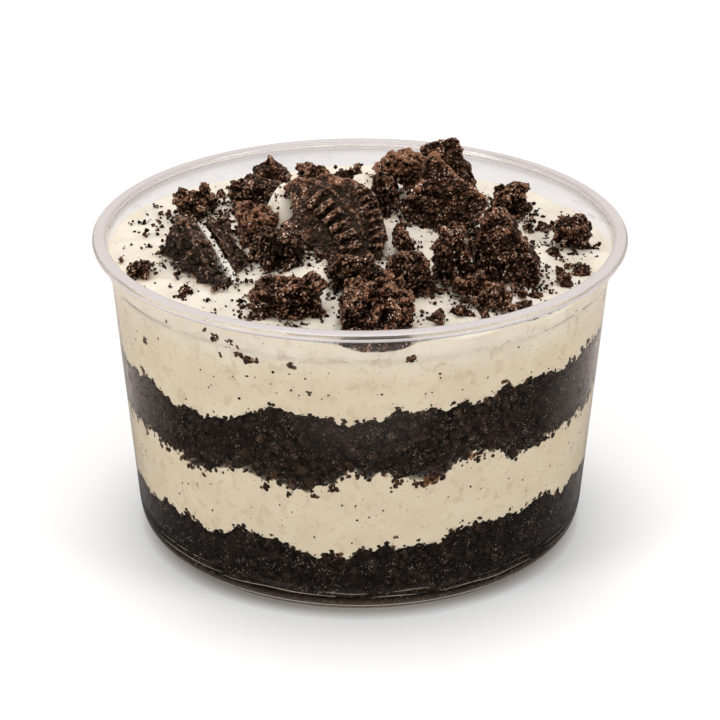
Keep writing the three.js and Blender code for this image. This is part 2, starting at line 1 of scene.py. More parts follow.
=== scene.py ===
"""The looks of the cookies and cream cheesecake pot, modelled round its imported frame.

Metres, +Z up, and the viewer's side is -Y. Lengths written in millimetres are multiplied by MM, and
angles round the pot are in degrees from the front, towards +X.
"""
import json
import math

import bpy
import numpy as np
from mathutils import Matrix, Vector, noise
from mathutils.bvhtree import BVHTree


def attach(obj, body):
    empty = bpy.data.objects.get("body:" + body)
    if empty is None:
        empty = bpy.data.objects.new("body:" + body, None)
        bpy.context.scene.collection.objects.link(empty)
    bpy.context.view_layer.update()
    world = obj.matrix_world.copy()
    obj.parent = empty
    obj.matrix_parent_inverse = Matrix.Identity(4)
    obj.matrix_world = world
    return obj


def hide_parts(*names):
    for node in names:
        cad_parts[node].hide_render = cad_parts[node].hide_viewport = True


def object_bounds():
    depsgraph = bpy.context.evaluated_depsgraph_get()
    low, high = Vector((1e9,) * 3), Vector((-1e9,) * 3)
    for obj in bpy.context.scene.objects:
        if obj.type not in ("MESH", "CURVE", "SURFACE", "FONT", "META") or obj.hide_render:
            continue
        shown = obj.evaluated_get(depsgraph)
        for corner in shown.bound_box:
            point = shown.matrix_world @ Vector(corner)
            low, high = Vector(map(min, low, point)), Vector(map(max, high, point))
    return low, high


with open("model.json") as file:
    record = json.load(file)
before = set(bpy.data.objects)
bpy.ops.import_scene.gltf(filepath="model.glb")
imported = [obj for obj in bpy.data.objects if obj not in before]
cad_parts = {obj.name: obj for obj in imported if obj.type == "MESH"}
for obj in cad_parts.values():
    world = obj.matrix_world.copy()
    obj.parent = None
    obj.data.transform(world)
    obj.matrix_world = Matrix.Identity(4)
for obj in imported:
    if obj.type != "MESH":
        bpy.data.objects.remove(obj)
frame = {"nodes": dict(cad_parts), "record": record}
cad_box = [list(corner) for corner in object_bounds()]

MM = 0.001
ROUND = 720  # points in each ring of a smooth round piece
FINE_VOXEL = 0.18  # in millimetres, for the cookie pieces' and larger crumbs' surfaces

# How far what fills the pot reaches into its wall, so that no air shows between them
CREAM_REACH = 0.06 * MM
GRAIN_REACH = 0.12 * MM

# The top of the filling, as the frame's own solid has it, in millimetres
CREAM_TOP = 55.6
CREAM_LEAN_BACK = 0.036
CREAM_LEAN_RIGHT = 0.013
MOUND = (-2, 3, 7, 17)
DOLLOPS = [
    (-13.5, -1, 3.6, 4.4), (2, 14, 4, 6), (-11, -23, 1.6, 4), (11, -11, 1.8, 5),
    (24, 4, 1.5, 5), (-35, -6, 2, 5), (4, 34, 1.2, 6), (2.8, -42, -1.8, 5.5),
]


# Selecting, copying and finishing

def pick(*objects):
    """Selects these objects alone, the first one active."""
    bpy.ops.object.select_all(action="DESELECT")
    for item in objects:
        item.select_set(True)
    bpy.context.view_layer.objects.active = objects[0]


def edit(item, *steps):
    """Runs edit-mode steps on all of an object's mesh."""
    pick(item)
    bpy.ops.object.mode_set(mode="EDIT")
    bpy.ops.mesh.select_all(action="SELECT")
    for step in steps:
        step()
    bpy.ops.object.mode_set(mode="OBJECT")


def merge_doubles():
    bpy.ops.mesh.remove_doubles(threshold=1e-6)


def turn_outwards():
    bpy.ops.mesh.normals_make_consistent(inside=False)


def copy_of(node, name):
    """A merged copy of a solid of the frame, without its material."""
    piece = bpy.data.objects.new(name, frame["nodes"][node].data.copy())
    bpy.context.collection.objects.link(piece)
    piece.data.materials.clear()
    edit(piece, merge_doubles)
    return piece


def mesh_object(name, points, faces, edges=()):
    mesh = bpy.data.meshes.new(name)
    mesh.from_pydata(points, edges, faces)
    piece = bpy.data.objects.new(name, mesh)
    bpy.context.collection.objects.link(piece)
    return piece


def modify(piece, kind, **settings):
    """Adds a modifier and applies it."""
    modifier = piece.modifiers.new(kind.title(), kind)
    for key, value in settings.items():
        setattr(modifier, key, value)
    pick(piece)
    bpy.ops.object.modifier_apply(modifier=modifier.name)


def remesh(piece, size):
    """Rebuilds a closed piece out of cubes of this size, in millimetres."""
    modify(piece, "REMESH", mode="VOXEL", voxel_size=size * MM)


def push(piece, kind, scale, strength, level, **settings):
    """Pushes a surface in and out by a texture; its scale and strength are in millimetres."""
    texture = bpy.data.textures.new("relief", kind)
    texture.noise_scale = scale * MM
    for key, value in settings.items():
        setattr(texture, key, value)
    modify(piece, "DISPLACE", texture=texture, strength=strength * MM, mid_level=level)


def coordinates(piece):
    """The places of a piece's vertices, one row each."""
    places = np.empty(len(piece.data.vertices) * 3)
    piece.data.vertices.foreach_get("co", places)
    return places.reshape(-1, 3)


def from_axis(places):
    """How far each place is from the pot's axis."""
    return np.hypot(places[:, 0], places[:, 1])


def move_to(piece, places):
    piece.data.vertices.foreach_set("co", places.ravel())
    piece.data.update()


def directions(piece):
    """The normals of a piece's vertices, one row each."""
    normals = np.empty(len(piece.data.vertices) * 3)
    piece.data.vertex_normals.foreach_get("vector", normals)
    return normals.reshape(-1, 3)


def set_attribute(piece, name, values):
    attribute = piece.data.attributes.new(name, "FLOAT", "POINT")
    attribute.data.foreach_set("value", np.asarray(values, float))


def smooth(piece, angle=180):
    pick(piece)
    bpy.ops.object.shade_smooth()
    if angle < 180:
        bpy.ops.object.shade_smooth_by_angle(angle=math.radians(angle))


def finish(piece, material, slot, *nodes):
    """Gives a piece its material and its place in the frame."""
    piece.data.materials.append(material)
    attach(piece, "root")
    if nodes:
        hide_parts(*nodes)


# The pot's section and the layers' edges, read from the frame

def pot_section():
    """The pot's section as (radius, height), from the underside at the axis round the rim to the floor."""
    solid = copy_of("pot", "section")
    places = coordinates(solid)
    flat = (np.abs(places[:, 1]) < 1e-6) & (places[:, 0] > -1e-6)
    near = {int(i): [] for i in np.flatnonzero(flat)}
    for edge in solid.data.edges:
        a, b = edge.vertices
        if flat[a] and flat[b]:
            near[a].append(b)
            near[b].append(a)
    ends = [i for i in near if places[i, 0] < 1e-6]
    here = min(ends, key=lambda i: places[i, 2])
    path = [here]
    while here is not None:
        here = next((i for i in near[here] if i not in path), None)
        if here is not None:
            path.append(here)
    bpy.data.objects.remove(solid)
    return [(places[i, 0], places[i, 2]) for i in path]


SECTION = pot_section()
RIM_HEIGHT = max(height for _, height in SECTION)
_last_top = max(i for i, (_, height) in enumerate(SECTION) if height > RIM_HEIGHT - 1e-6)
INSIDE = SECTION[_last_top:][::-1]
POT_FLOOR = INSIDE[0][1]


def wobble(places, size, seed):
    """Smooth noise from -1 to 1 at each place, with features of about this size."""
    shift = Vector((seed, 2.3 * seed, 3.1 * seed))
    return np.array([noise.noise(Vector(place) / size + shift) for place in places])


def wall_radius(height):
    """Inside radius of the pot at a height."""
    return np.interp(height, [z for _, z in INSIDE], [r for r, _ in INSIDE])


def around(angle, radius, height):
    """Points round the pot's axis, from angles, radii and heights."""
    turn = np.radians(angle)
    return np.stack(np.broadcast_arrays(radius * np.sin(turn), -radius * np.cos(turn), height), axis=-1)


# The boundaries between the layers, each with the seed of its fine unevenness; 0 is a smooth one
BOUNDARIES = {
    "crumb_base": (0, 1), "cream_lower": (1, 2), "crumb_middle": (2, 3), "cream_upper": (3, 0),
}


def crumbly_line(angle, height, seed):
    """How far a boundary wanders at the wall, finer than the frame's own line."""
    if seed == 0:
        return 0 * height
    places = around(angle, wall_radius(height), 0)
    broad, fine = wobble(places, 3.3 * MM, 10 * seed), wobble(places, 1.3 * MM, 10 * seed + 5)
    return MM * (1.7 * broad + 0.7 * fine)


AT_WALL = 0.95  # share of the wall's radius from which a point counts as lying at the wall


class Edges:
    """The low and high edge of a layer where it meets the wall, and its levels at the axis."""

    def __init__(self, node):
        self.low_seed, self.high_seed = BOUNDARIES[node]
        places = coordinates(frame["nodes"][node])
        radius = from_axis(places)
        wall = radius > AT_WALL * wall_radius(places[:, 2])
        angle = np.degrees(np.arctan2(places[wall, 0], -places[wall, 1])) % 360
        height = places[wall, 2]
        steps = angle.round().astype(int) % 360
        self.angles = np.unique(steps)
        self.lows = np.array([height[steps == step].min() for step in self.angles])
        self.highs = np.array([height[steps == step].max() for step in self.angles])
        axis = places[radius < 1e-6, 2]
        self.centre_low, self.centre_high = axis.min(), axis.max()

    def line(self, angle, heights, seed):
        height = np.interp(angle, self.angles, heights, period=360)
        return height + crumbly_line(angle, height, seed)

    def low(self, angle):
        return self.line(angle, self.lows, self.low_seed)

    def high(self, angle):
        return self.line(angle, self.highs, self.high_seed)


# The pot

POT_TURNS = 256
CORNER_ROUNDING = 0.7 * MM
RIM_SLOPE = 0.15  # rise of the rim's top towards its inner edge
LIP_RADIUS = 50 * MM  # the lip lies beyond it, and the rim's top rises inwards from it
LIP_FOOT = (58 * MM, 58.8 * MM)  # heights of the lip's lower edge on the frame's own pot
LIP_RAISE = 0.45 * MM  # how much shorter the lip is than the frame's own
RIM_BAND = 57.8 * MM  # where the rim's thick plastic begins, which blurs what is behind it
LIP_LINE = (58.8 * MM, 59.45 * MM)  # the lip's pale lower edge, a painted highlight
FOOT_LINE = (2.36 * MM, 2.54 * MM)  # a line of light round the foot, a painted highlight
FOOT_HAZE = 4.1 * MM  # below this the outer face has a painted brown haze for the shaded floor and dark crumb seen in the foot


def softened(outline, radius, steps=4):
    """An outline with each of its corners turned into a small curve."""
    points = [Vector(point) for point in outline]
    soft = [points[0]]
    for before, corner, after in zip(points, points[1:], points[2:]):
        back, on = before - corner, after - corner
        cut = min(radius, 0.42 * back.length, 0.42 * on.length)
        start, end = corner + back.normalized() * cut, corner + on.normalized() * cut
        for step in range(steps + 1):
            t = step / steps
            soft.append((1 - t) ** 2 * start + 2 * t * (1 - t) * corner + t * t * end)
    return soft + [points[-1]]


def rim_shape(r, z):
    """The rim with its top rising inwards and its lip shorter."""
    if z > RIM_HEIGHT - 0.1 * MM:
        return r, z + RIM_SLOPE * (LIP_RADIUS - r)
    if r > LIP_RADIUS - 1.5 * MM and between(z, LIP_FOOT):
        return r, z + LIP_RAISE
    return r, z


def split_at(outline, height):
    """An outline with a point added wherever it crosses this height."""
    points = [outline[0]]
    for (r, z), (next_r, next_z) in zip(outline, outline[1:]):
        if (z - height) * (next_z - height) < 0:
            share = (height - z) / (next_z - z)
            points.append((r + share * (next_r - r), height))
        points.append((next_r, next_z))
    return points


def between(height, band):
    return band[0] < height < band[1]


# Painted highlights where air between the crumb and the wall shows as a bright line: first and last
# angle, and height and thickness in millimetres
AIR_ARCS = [
    (-62, -36, 4.9, 0.12), (-36, -6, 4.6, 0.14), (-9, 2, 5.3, 0.1), (3, 14, 4.5, 0.12),
    (8, 17, 5.5, 0.09), (20, 48, 4.6, 0.12), (55, 96, 4.7, 0.12), (118, 150, 4.5, 0.12),
    (170, 214, 4.7, 0.12), (235, 276, 4.6, 0.12),
]
ARC_STEPS = 60
ARC_SIDES = 6


def air_lines(material):
    """Painted highlights: thin bright arcs in the wall near the floor, each a bent rod that thins out at its
    ends.
    """
    points, faces = [], []
    for number, (first, last, height, thick) in enumerate(AIR_ARCS):
        angle = np.linspace(first, last, ARC_STEPS)
        middle = around(angle, 1.0, 0.0)
        level = height * MM + 0.35 * MM * wobble(middle, 0.16, 70 + number)
        taper = np.sin(np.linspace(0.04, 0.96, ARC_STEPS) * math.pi) ** 0.5
        half = 0.5 * thick * MM * taper * (0.7 + 0.6 * np.abs(wobble(middle, 0.02, 90 + number)))
        radius = wall_radius(level) + 0.3 * MM
        rows = [len(points) + ARC_STEPS * turn for turn in range(ARC_SIDES)]
        for turn in range(ARC_SIDES):
            way = turn * 2 * math.pi / ARC_SIDES
            out, up = 0.6 * half * math.cos(way), half * math.sin(way)
            points += around(angle, radius + out, level + up).tolist()
        for a, b in zip(rows, rows[1:] + rows[:1]):
            faces += [(a + i, a + i + 1, b + i + 1, b + i) for i in range(ARC_STEPS - 1)]
        faces += [rows, [row + ARC_STEPS - 1 for row in reversed(rows)]]
    piece = mesh_object("air_lines", points, faces)
    edit(piece, turn_outwards)
    smooth(piece, 60)
    finish(piece, material, "pot", "pot")
    piece.visible_shadow = False


# The pot's plastics: name, colour, roughness and clearness
PLASTICS = [
    ("clear plastic", (1, 1, 1), 0.02, 1.0),
    ("clear plastic, thick", (0.94, 0.92, 0.92), 0.2, 1.0),
    ("clear plastic, milky edge", (0.59, 0.545, 0.535), 0.2, 0),
    ("clear plastic, painted lip highlight", (0.8, 0.745, 0.745), 0.3, 0.2),
    ("clear plastic, painted foot highlight", (0.76, 0.68, 0.58), 0.3, 0),
    ("clear plastic, painted foot haze", (0.45, 0.31, 0.19), 0.05, 0.95),
]
CLEAR, THICK, MILKY, PALE, BRIGHT, HAZED_FOOT = range(6)


def plastic_of(face):
    """Which of the plastics a face of the pot has."""
    place = face.center
    outer_face = face.normal.dot(Vector((place.x, place.y, 0))) > 0
    if math.hypot(place.x, place.y) > LIP_RADIUS and between(place.z, LIP_LINE):
        return PALE
    if outer_face and between(place.z, FOOT_LINE):
        return BRIGHT
    if place.z > RIM_HEIGHT - 0.15 * MM and face.normal.z > 0.5:
        return MILKY
    if place.z > RIM_BAND:
        return THICK
    return HAZED_FOOT if outer_face and 0.3 * MM < place.z < FOOT_HAZE else CLEAR


def clear_pot():
    section = [rim_shape(r, z) for r, z in SECTION]
    section = [tuple(point) for point in softened(section, CORNER_ROUNDING)]
    for height in (*FOOT_LINE, FOOT_HAZE, *LIP_LINE, RIM_BAND):
        section = split_at(section, height)
    lines = [(i, i + 1) for i in range(len(section) - 1)]
    pot = mesh_object("clear_pot", [(r, 0, z) for r, z in section], [], lines)

    def spin_round():
        bpy.ops.mesh.spin(steps=POT_TURNS, angle=2 * math.pi, center=(0, 0, 0), axis=(0, 0, 1))

    edit(pot, spin_round, merge_doubles)
    edit(pot, turn_outwards)
    smooth(pot, 50)
    clear, *others = [plastic(*look) for look in PLASTICS]
    finish(pot, clear, "pot", "pot")
    for material in others:
        pot.data.materials.append(material)
    for face in pot.data.polygons:
        face.material_index = plastic_of(face)
    # Light for what is inside comes straight through the thin clear wall
    pot.visible_shadow = False
    pot.visible_diffuse = False


# The filling

def ring_body(name, bottom, rings, top):
    """A closed body through rings of points, from the point below them to the point above them."""
    count = len(rings[0])
    points = np.vstack([[bottom], *rings, [top]])
    along = np.arange(count)
    ahead = (along + 1) % count
    faces = [(0, int(1 + b), int(1 + a)) for a, b in zip(along, ahead)]
    for row in range(len(rings) - 1):
        low, high = 1 + row * count, 1 + (row + 1) * count
        faces += [(int(low + a), int(low + b), int(high + b), int(high + a)) for a, b in zip(along, ahead)]
    last, end = 1 + (len(rings) - 1) * count, len(points) - 1
    faces += [(end, int(last + a), int(last + b)) for a, b in zip(along, ahead)]
    return mesh_object(name, points.tolist(), faces)


ANGLES = np.arange(ROUND) * 360 / ROUND
UNDER = (0.3, 0.6, 0.85, 0.95)  # shares of the way out to the wall, for the hidden faces
OVERLAP = 0.1 * MM  # how far the filling reaches into the crumb above and below it


def hidden_ring(edge, centre, share):
    """A ring of a layer's face towards its neighbour, this share of the way out to its edge."""
    return around(ANGLES, share * wall_radius(edge), centre + (edge - centre) * share * share)


def wall_ring(height):
    return around(ANGLES, wall_radius(height) + CREAM_REACH, height)


def cream_lower_piece(material):
    edges = Edges("cream_lower")
    low = edges.low(ANGLES) - OVERLAP
    high = edges.high(ANGLES) + OVERLAP
    rings = [hidden_ring(low, edges.centre_low, share) for share in UNDER]
    rings += [wall_ring(low + (high - low) * step / 12) for step in range(13)]
    rings += [hidden_ring(high, edges.centre_high, share) for share in reversed(UNDER)]
    piece = ring_body("lower_filling", (0, 0, edges.centre_low), rings, (0, 0, edges.centre_high))
    smooth(piece, 60)
    places = coordinates(piece)
    set_attribute(piece, "wall", from_axis(places) > 0.97 * wall_radius(places[:, 2]))
    set_attribute(piece, "stain", np.zeros(len(places)))
    finish(piece, material, "cream", "cream_lower")


def cream_height(x, y):
    """Height of the filling's bare top, from places in metres."""
    x, y = x / MM, y / MM
    z = CREAM_TOP - CREAM_LEAN_BACK * y - CREAM_LEAN_RIGHT * x
    for across, back, up, spread in (MOUND, *DOLLOPS):
        z = z + up * np.exp(-((x - across) ** 2 + (y - back) ** 2) / (2 * spread**2))
    ridges = np.sin(0.34 * x + 0.21 * y + 1.3 * np.sin(0.13 * y))
    return MM * (z + 0.35 * ridges * np.sin(0.24 * y - 0.11 * x + 0.7))


TOP_RINGS = 76
TOP_EDGE = 0.055  # about where the filling's top meets the wall, in metres

# Blobs of filling that stand up between the cookie pieces: across, back, up and spread, in millimetres
BLOBS = [(-14.3, -3, 4.6, 2.6), (0.6, 20.5, 1.2, 2.4), (-4.5, -21, 1.5, 2.5)]

# Where a cookie piece pushes the filling down at the wall: angle, half width and height left
DIP = (3.6, 6.6, 55.7 * MM)


def spooned_height(x, y):
    """Height of the filling's top with its blobs, from places in metres."""
    z = cream_height(x, y)
    for across, back, up, spread in BLOBS:
        square = (x / MM - across) ** 2 + (y / MM - back) ** 2
        z = z + MM * up * np.exp(-((square / (2 * spread**2)) ** 1.4))
    return z


def cream_upper_piece(material, cookies):
    """The upper filling, spooned on: its top has soft folds, and climbs a little where it meets the wall."""
    edges = Edges("cream_upper")
    low = edges.low(ANGLES) - OVERLAP
    rings = [hidden_ring(low, edges.centre_low, share) for share in UNDER]
    rim = around(ANGLES, wall_radius(TOP_EDGE), TOP_EDGE)
    edge_top = cream_height(rim[:, 0], rim[:, 1]) + MM * (0.3 + 0.7 * wobble(rim, 9 * MM, 4))
    apart = (ANGLES - DIP[0] + 180) % 360 - 180
    pushed = np.exp(-((apart / DIP[1]) ** 4))
    edge_top = (1 - pushed) * edge_top + pushed * DIP[2]
    rings += [wall_ring(low + (edge_top - low) * step / 14) for step in range(15)]
    for step in range(1, TOP_RINGS):
        share = 1 - step / TOP_RINGS
        places = around(ANGLES, share * wall_radius(TOP_EDGE), 0)
        bare = spooned_height(places[:, 0], places[:, 1])
        folds = 0.45 * wobble(places, 5.5 * MM, 6) + 0.3 * np.abs(wobble(places, 2.4 * MM, 7))
        blend = min(1, (1 - share) / 0.05)
        places[:, 2] = blend * (bare + folds * MM) + (1 - blend) * edge_top
        rings.append(places)
    top = (0, 0, float(cream_height(np.array(0.0), np.array(0.0))))
    piece = ring_body("upper_filling", (0, 0, edges.centre_low), rings, top)
    smooth(piece, 60)
    places = coordinates(piece)
    set_attribute(piece, "wall", from_axis(places) > wall_radius(places[:, 2]) + 0.5 * CREAM_REACH)
    distance = np.array([cookies.find_nearest(Vector(place))[3] for place in places])
    set_attribute(piece, "stain", np.exp(-distance / (0.45 * MM)))
    finish(piece, material, "cream", "cream_upper")


# Crumbs

def grain_shapes(count, faces_level, seed, facets):
    """Rough little lumps of unit size, as a stack of vertex places and their shared faces."""
    bpy.ops.mesh.primitive_ico_sphere_add(subdivisions=faces_level, radius=0.5)
    ball = bpy.context.object
    places = coordinates(ball)
    faces = np.array([face.vertices for face in ball.data.polygons])
    bpy.data.objects.remove(ball)
    rng = np.random.default_rng(seed)
    shapes = []
    for shape in range(count):
        swell = 1 + 0.55 * wobble(places, 0.45, seed + 3 * shape) + rng.uniform(-0.12, 0.12, len(places))
        lump = places * swell[:, None]
        for way in rng.normal(size=(facets, 3)):
            way /= np.linalg.norm(way)
            too_far = np.maximum(lump @ way - rng.uniform(0.22, 0.42), 0)
            lump -= too_far[:, None] * way
        shapes.append(lump)
    return np.array(shapes), faces


def random_turns(count, rng):
    """A random rotation matrix for each grain."""
    w, x, y, z = rng.normal(size=(4, count))
    length = np.sqrt(w * w + x * x + y * y + z * z)
    w, x, y, z = w / length, x / length, y / length, z / length
    rows = [
        [1 - 2 * (y * y + z * z), 2 * (x * y - z * w), 2 * (x * z + y * w)],
        [2 * (x * y + z * w), 1 - 2 * (x * x + z * z), 2 * (y * z - x * w)],
        [2 * (x * z - y * w), 2 * (y * z + x * w), 1 - 2 * (x * x + y * y)],
    ]
    return np.moveaxis(np.array(rows), -1, 0)


def grains(name, centres, sizes, seed, level=1, flatten=None, facets=6):
    """Many crumbs as one mesh: a lump at each centre, randomly turned and stretched.

    flatten, where given, is a direction for each grain and how much of its thickness it keeps.
    """
    rng = np.random.default_rng(seed)
    shapes, faces = grain_shapes(12, level, seed, facets)
    count = len(centres)
    chosen = shapes[rng.integers(0, len(shapes), count)]
    stretch = rng.uniform(0.72, 1.15, (count, 1, 3))
    bodies = np.einsum("nij,nvj->nvi", random_turns(count, rng), chosen * stretch)
    bodies *= np.asarray(sizes)[:, None, None]
    if flatten is not None:
        way, keep = flatten
        depth = np.einsum("nvi,ni->nv", bodies, way)
        bodies -= (1 - keep) * depth[:, :, None] * way[:, None, :]
    points = (bodies + np.asarray(centres)[:, None, :]).reshape(-1, 3)
    corners = (faces[None] + (np.arange(count) * shapes.shape[1])[:, None, None]).reshape(-1, 3)
    piece = mesh_object(name, points.tolist(), corners.tolist())
    set_attribute(piece, "tint", np.repeat(rng.uniform(0, 1, count), shapes.shape[1]))
    smooth(piece, 50)
    return piece


GRAIN_THICKNESS = 0.66  # share of its size that a grain keeps from front to back
GRID_RADIUS = 44  # of the grid that grains are set on, in millimetres
GRID_HEIGHT = 20  # more than any crumb layer's


def wall_grains(name, edges, pitch, sizes, seed, level, material, node):
    """Grains packed against the wall between a layer's edges, on a jittered grid; lengths in millimetres.

    Those along the edges touch the wall, in front of the filling, and others may lie a little behind.
    """
    rng = np.random.default_rng(seed)
    columns = int(2 * math.pi * GRID_RADIUS / pitch)
    rows = int(GRID_HEIGHT / pitch)
    angle, row = np.meshgrid(np.arange(columns) * 360 / columns, np.arange(rows))
    angle = angle.ravel() + rng.uniform(-0.5, 0.5, angle.size) * 360 / columns
    row = row.ravel() + rng.uniform(0, 1, angle.size)
    low, high = edges.low(angle), edges.high(angle)
    height = low + row * pitch * MM
    kept = height < high + rng.uniform(-0.3, 0.6, angle.size) * pitch * MM
    angle, height, low, high = angle[kept], height[kept], low[kept], high[kept]
    size = MM * (sizes[0] + (sizes[1] - sizes[0]) * rng.uniform(0, 1, len(angle)) ** 2)
    inner = np.clip(np.minimum(height - low, high - height) / (1.2 * MM) - 0.5, 0, 1)
    behind = inner * rng.uniform(0, 0.45 * MM, len(angle))
    depth = 0.42 * GRAIN_THICKNESS * size - GRAIN_REACH + behind
    centres = around(angle, wall_radius(height) - depth, height)
    piece = grains(name, centres, size, seed, level, (around(angle, 1.0, 0.0), GRAIN_THICKNESS), 2)
    places = coordinates(piece)
    places[:, 2] = np.maximum(places[:, 2], POT_FLOOR - 0.5 * GRAIN_REACH)
    draw = np.minimum(1, (wall_radius(places[:, 2]) + GRAIN_REACH) / from_axis(places))
    places[:, :2] *= draw[:, None]
    move_to(piece, places)
    finish(piece, material, "crumb", node)


class Corner:
    """The strip of the base crumb that lies in the pot's rounded corner."""

    def low(self, angle):
        return np.full_like(angle, POT_FLOOR + 0.75 * MM)

    def high(self, angle):
        return self.low(angle) + 2 * MM


def crumb_layer(node, name, seed, material):
    """A layer of packed crumbs: a pebbly core, and loose grains of each size against the wall."""
    core = copy_of(node, name + "_core")
    remesh(core, 0.95)
    push(core, "VORONOI", 1.7, -0.9, 0)
    smooth(core)
    set_attribute(core, "tint", np.zeros(len(core.data.vertices)))
    finish(core, material, "crumb", node)
    edges = Edges(node)
    if node == "crumb_base":
        edges.lows = np.full_like(edges.lows, POT_FLOOR + 1.1 * MM)
        wall_grains(name + "_corner", Corner(), 0.62, (0.9, 1.9), seed + 2, 1, material, node)
    wall_grains(name + "_grains", edges, 1.5, (1.4, 2.8), seed, 2, material, node)
    wall_grains(name + "_fines", edges, 0.95, (0.6, 1.4), seed + 1, 1, material, node)


# Cookie pieces

def scatter_on(piece, count, rng):
    """Random places on a piece's surface, spread by area, with the way out at each."""
    piece.data.calc_loop_triangles()
    corners = coordinates(piece)[np.array([face.vertices for face in piece.data.loop_triangles])]
    first, second, third = corners[:, 0], corners[:, 1], corners[:, 2]
    cross = np.cross(second - first, third - first)
    area = np.linalg.norm(cross, axis=1)
    chosen = rng.choice(len(area), count, p=area / area.sum())
    u, v = rng.uniform(0, 1, (2, count, 1))
    over = u + v > 1
    u, v = np.where(over, 1 - u, u), np.where(over, 1 - v, v)
    spots = first[chosen] + u * (second - first)[chosen] + v * (third - first)[chosen]
    return spots, cross[chosen] / area[chosen, None]


def surface_area(piece):
    return sum(face.area for face in piece.data.polygons)


def stand_out(piece, turns):
    """How far each place stands out of the surface smoothed this many times, in metres."""
    places, out = coordinates(piece), directions(piece)
    ends = np.array([edge.vertices for edge in piece.data.edges])
    starts, stops = np.concatenate([ends, ends[:, ::-1]]).T
    count = np.bincount(starts, minlength=len(places))
    level = places.copy()
    for _ in range(turns):
        level = np.stack(
            [np.bincount(starts, level[stops, axis], len(places)) / count for axis in range(3)], axis=1
        )
    return np.einsum("ij,ij->i", places - level, out)


def crest(piece):
    """0.5 on a plain surface, more on grains and ridges and less in pits and crevices; as colour it gives
    painted light on the crests and painted shade in the pits.
    """
    return 0.5 + stand_out(piece, 12) / (0.8 * MM) + stand_out(piece, 70) / (2.2 * MM)


def sharp_edge(piece):
    """0 on most of a surface, and up to 1 along its sharpest small ridges and corners, where painted
    highlights go.
    """
    stand = stand_out(piece, 3)
    low, high = np.percentile(stand, (80, 97))
    return np.clip((stand - low) / (high - low), 0, 1)


def painted_top_light_and_foot_shade(piece):
    """Painted light and shade: paler towards the top and on faces that look up, and darker at its foot."""
    height = coordinates(piece)[:, 2]
    share = (height - height.min()) / (height.max() - height.min())
    return 0.32 * (share - 0.5) + 0.17 * (directions(piece)[:, 2] - 0.3)


def keep_inside(piece):
    """Draws in whatever would stand above the model's box or in the pot's wall."""
    places = coordinates(piece)
    places[:, 2] = np.minimum(places[:, 2], cad_box[1][2])
    radius = from_axis(places)
    limit = wall_radius(places[:, 2]) - 0.02 * MM
    draw = np.where((places[:, 2] < RIM_HEIGHT) & (radius > limit), limit / radius, 1)
    places[:, :2] *= draw[:, None]
    move_to(piece, places)


def note_relief(piece, tone_and_painted_light):
    """Notes what a cookie piece's colour goes by, with its painted light and shade and where its painted
    highlights go, and smooths the piece.
    """
    set_attribute(piece, "crest", tone_and_painted_light)
    set_attribute(piece, "edge", sharp_edge(piece))
    smooth(piece)


class Plane:
    """A flat face of a wafer: its own axes u, level, and v, up the face, and w out of it, in metres."""

    def __init__(self, direction, place):
        self.w = Vector(direction).normalized()
        self.u = Vector((0, 0, 1)).cross(self.w).normalized()
        self.v = self.w.cross(self.u)
        self.place = Vector(place) * MM

    def inside(self, places):
        return (places - np.array(self.place)) @ np.array([self.u, self.v, self.w]).T


def soft_step(low, high, values):
    share = np.clip((values - low) / (high - low), 0, 1)
    return share * share * (3 - 2 * share)


def bar_ring(flat, middle, radius, length, width, first, last, count):
    """1 on radial bars set round a middle, 0 between them; lengths in millimetres."""
    out = flat[:, :2] / MM - middle
    raised = np.zeros(len(out))
    for angle in np.linspace(math.radians(first), math.radians(last), count):
        along = out @ (math.cos(angle), math.sin(angle)) - radius
        across = out @ (-math.sin(angle), math.cos(angle))
        ends = 1 - soft_step(0.5 * length - 0.3, 0.5 * length + 0.1, np.abs(along))
        sides = 1 - soft_step(0.5 * width - 0.25, 0.5 * width + 0.15, np.abs(across))
        raised = np.maximum(raised, ends * sides)
    return raised


def ribbed_face(flat):
    """The large fragment's face: a ring of bars, a thin line outside them, and ribs along the rim."""
    bars = bar_ring(flat, (-19.8, -16.7), 26, 4.4, 1.5, 25, 51, 6)
    ribs = bar_ring(flat, (-11, -4.6), 19.3, 3, 0.85, -7, 32, 9)
    from_middle = np.hypot(*(flat[:, :2] / MM - (-9.5, -8.6)).T)
    line = 1 - soft_step(0.15, 0.4, np.abs(from_middle - 16.4))
    groove = 1 - soft_step(0.2, 0.7, np.abs(from_middle - 17.6))
    return bars + 1.1 * ribs + 0.3 * line - 0.4 * groove


def barred_face(flat):
    """The sandwich's face: two rings of bars round a middle that is broken off."""
    bars = bar_ring(flat, (0, -13), 13.6, 4, 1.3, 40, 150, 8)
    ribs = bar_ring(flat, (0, -13), 8.6, 2.6, 1.1, 40, 140, 6)
    return 0.8 * bars + 0.6 * ribs


RIBBED = Plane((-0.08, -0.72, 0.69), (-5, -11.6, 66.5))
BARRED = Plane((-0.76, -0.54, 0.36), (-30.9, -17.2, 62.3))
PEAK = Plane((-0.1, -0.78, 0.62), (15.6, 0.7, 66.9))

EMBOSSING = {
    "wafer_front_ribbed": (RIBBED, ribbed_face),
    "sandwich_wafer_outer": (BARRED, barred_face),
}


def emboss(piece, plane, pattern):
    places = coordinates(piece)
    flat = plane.inside(places)
    depth = flat[:, 2] / MM
    near_face = soft_step(-0.9, -0.3, depth) * (1 - soft_step(0.25, 0.35, depth))
    lift = MM * near_face * (pattern(flat) - 0.3)
    move_to(piece, places + lift[:, None] * np.array(plane.w))


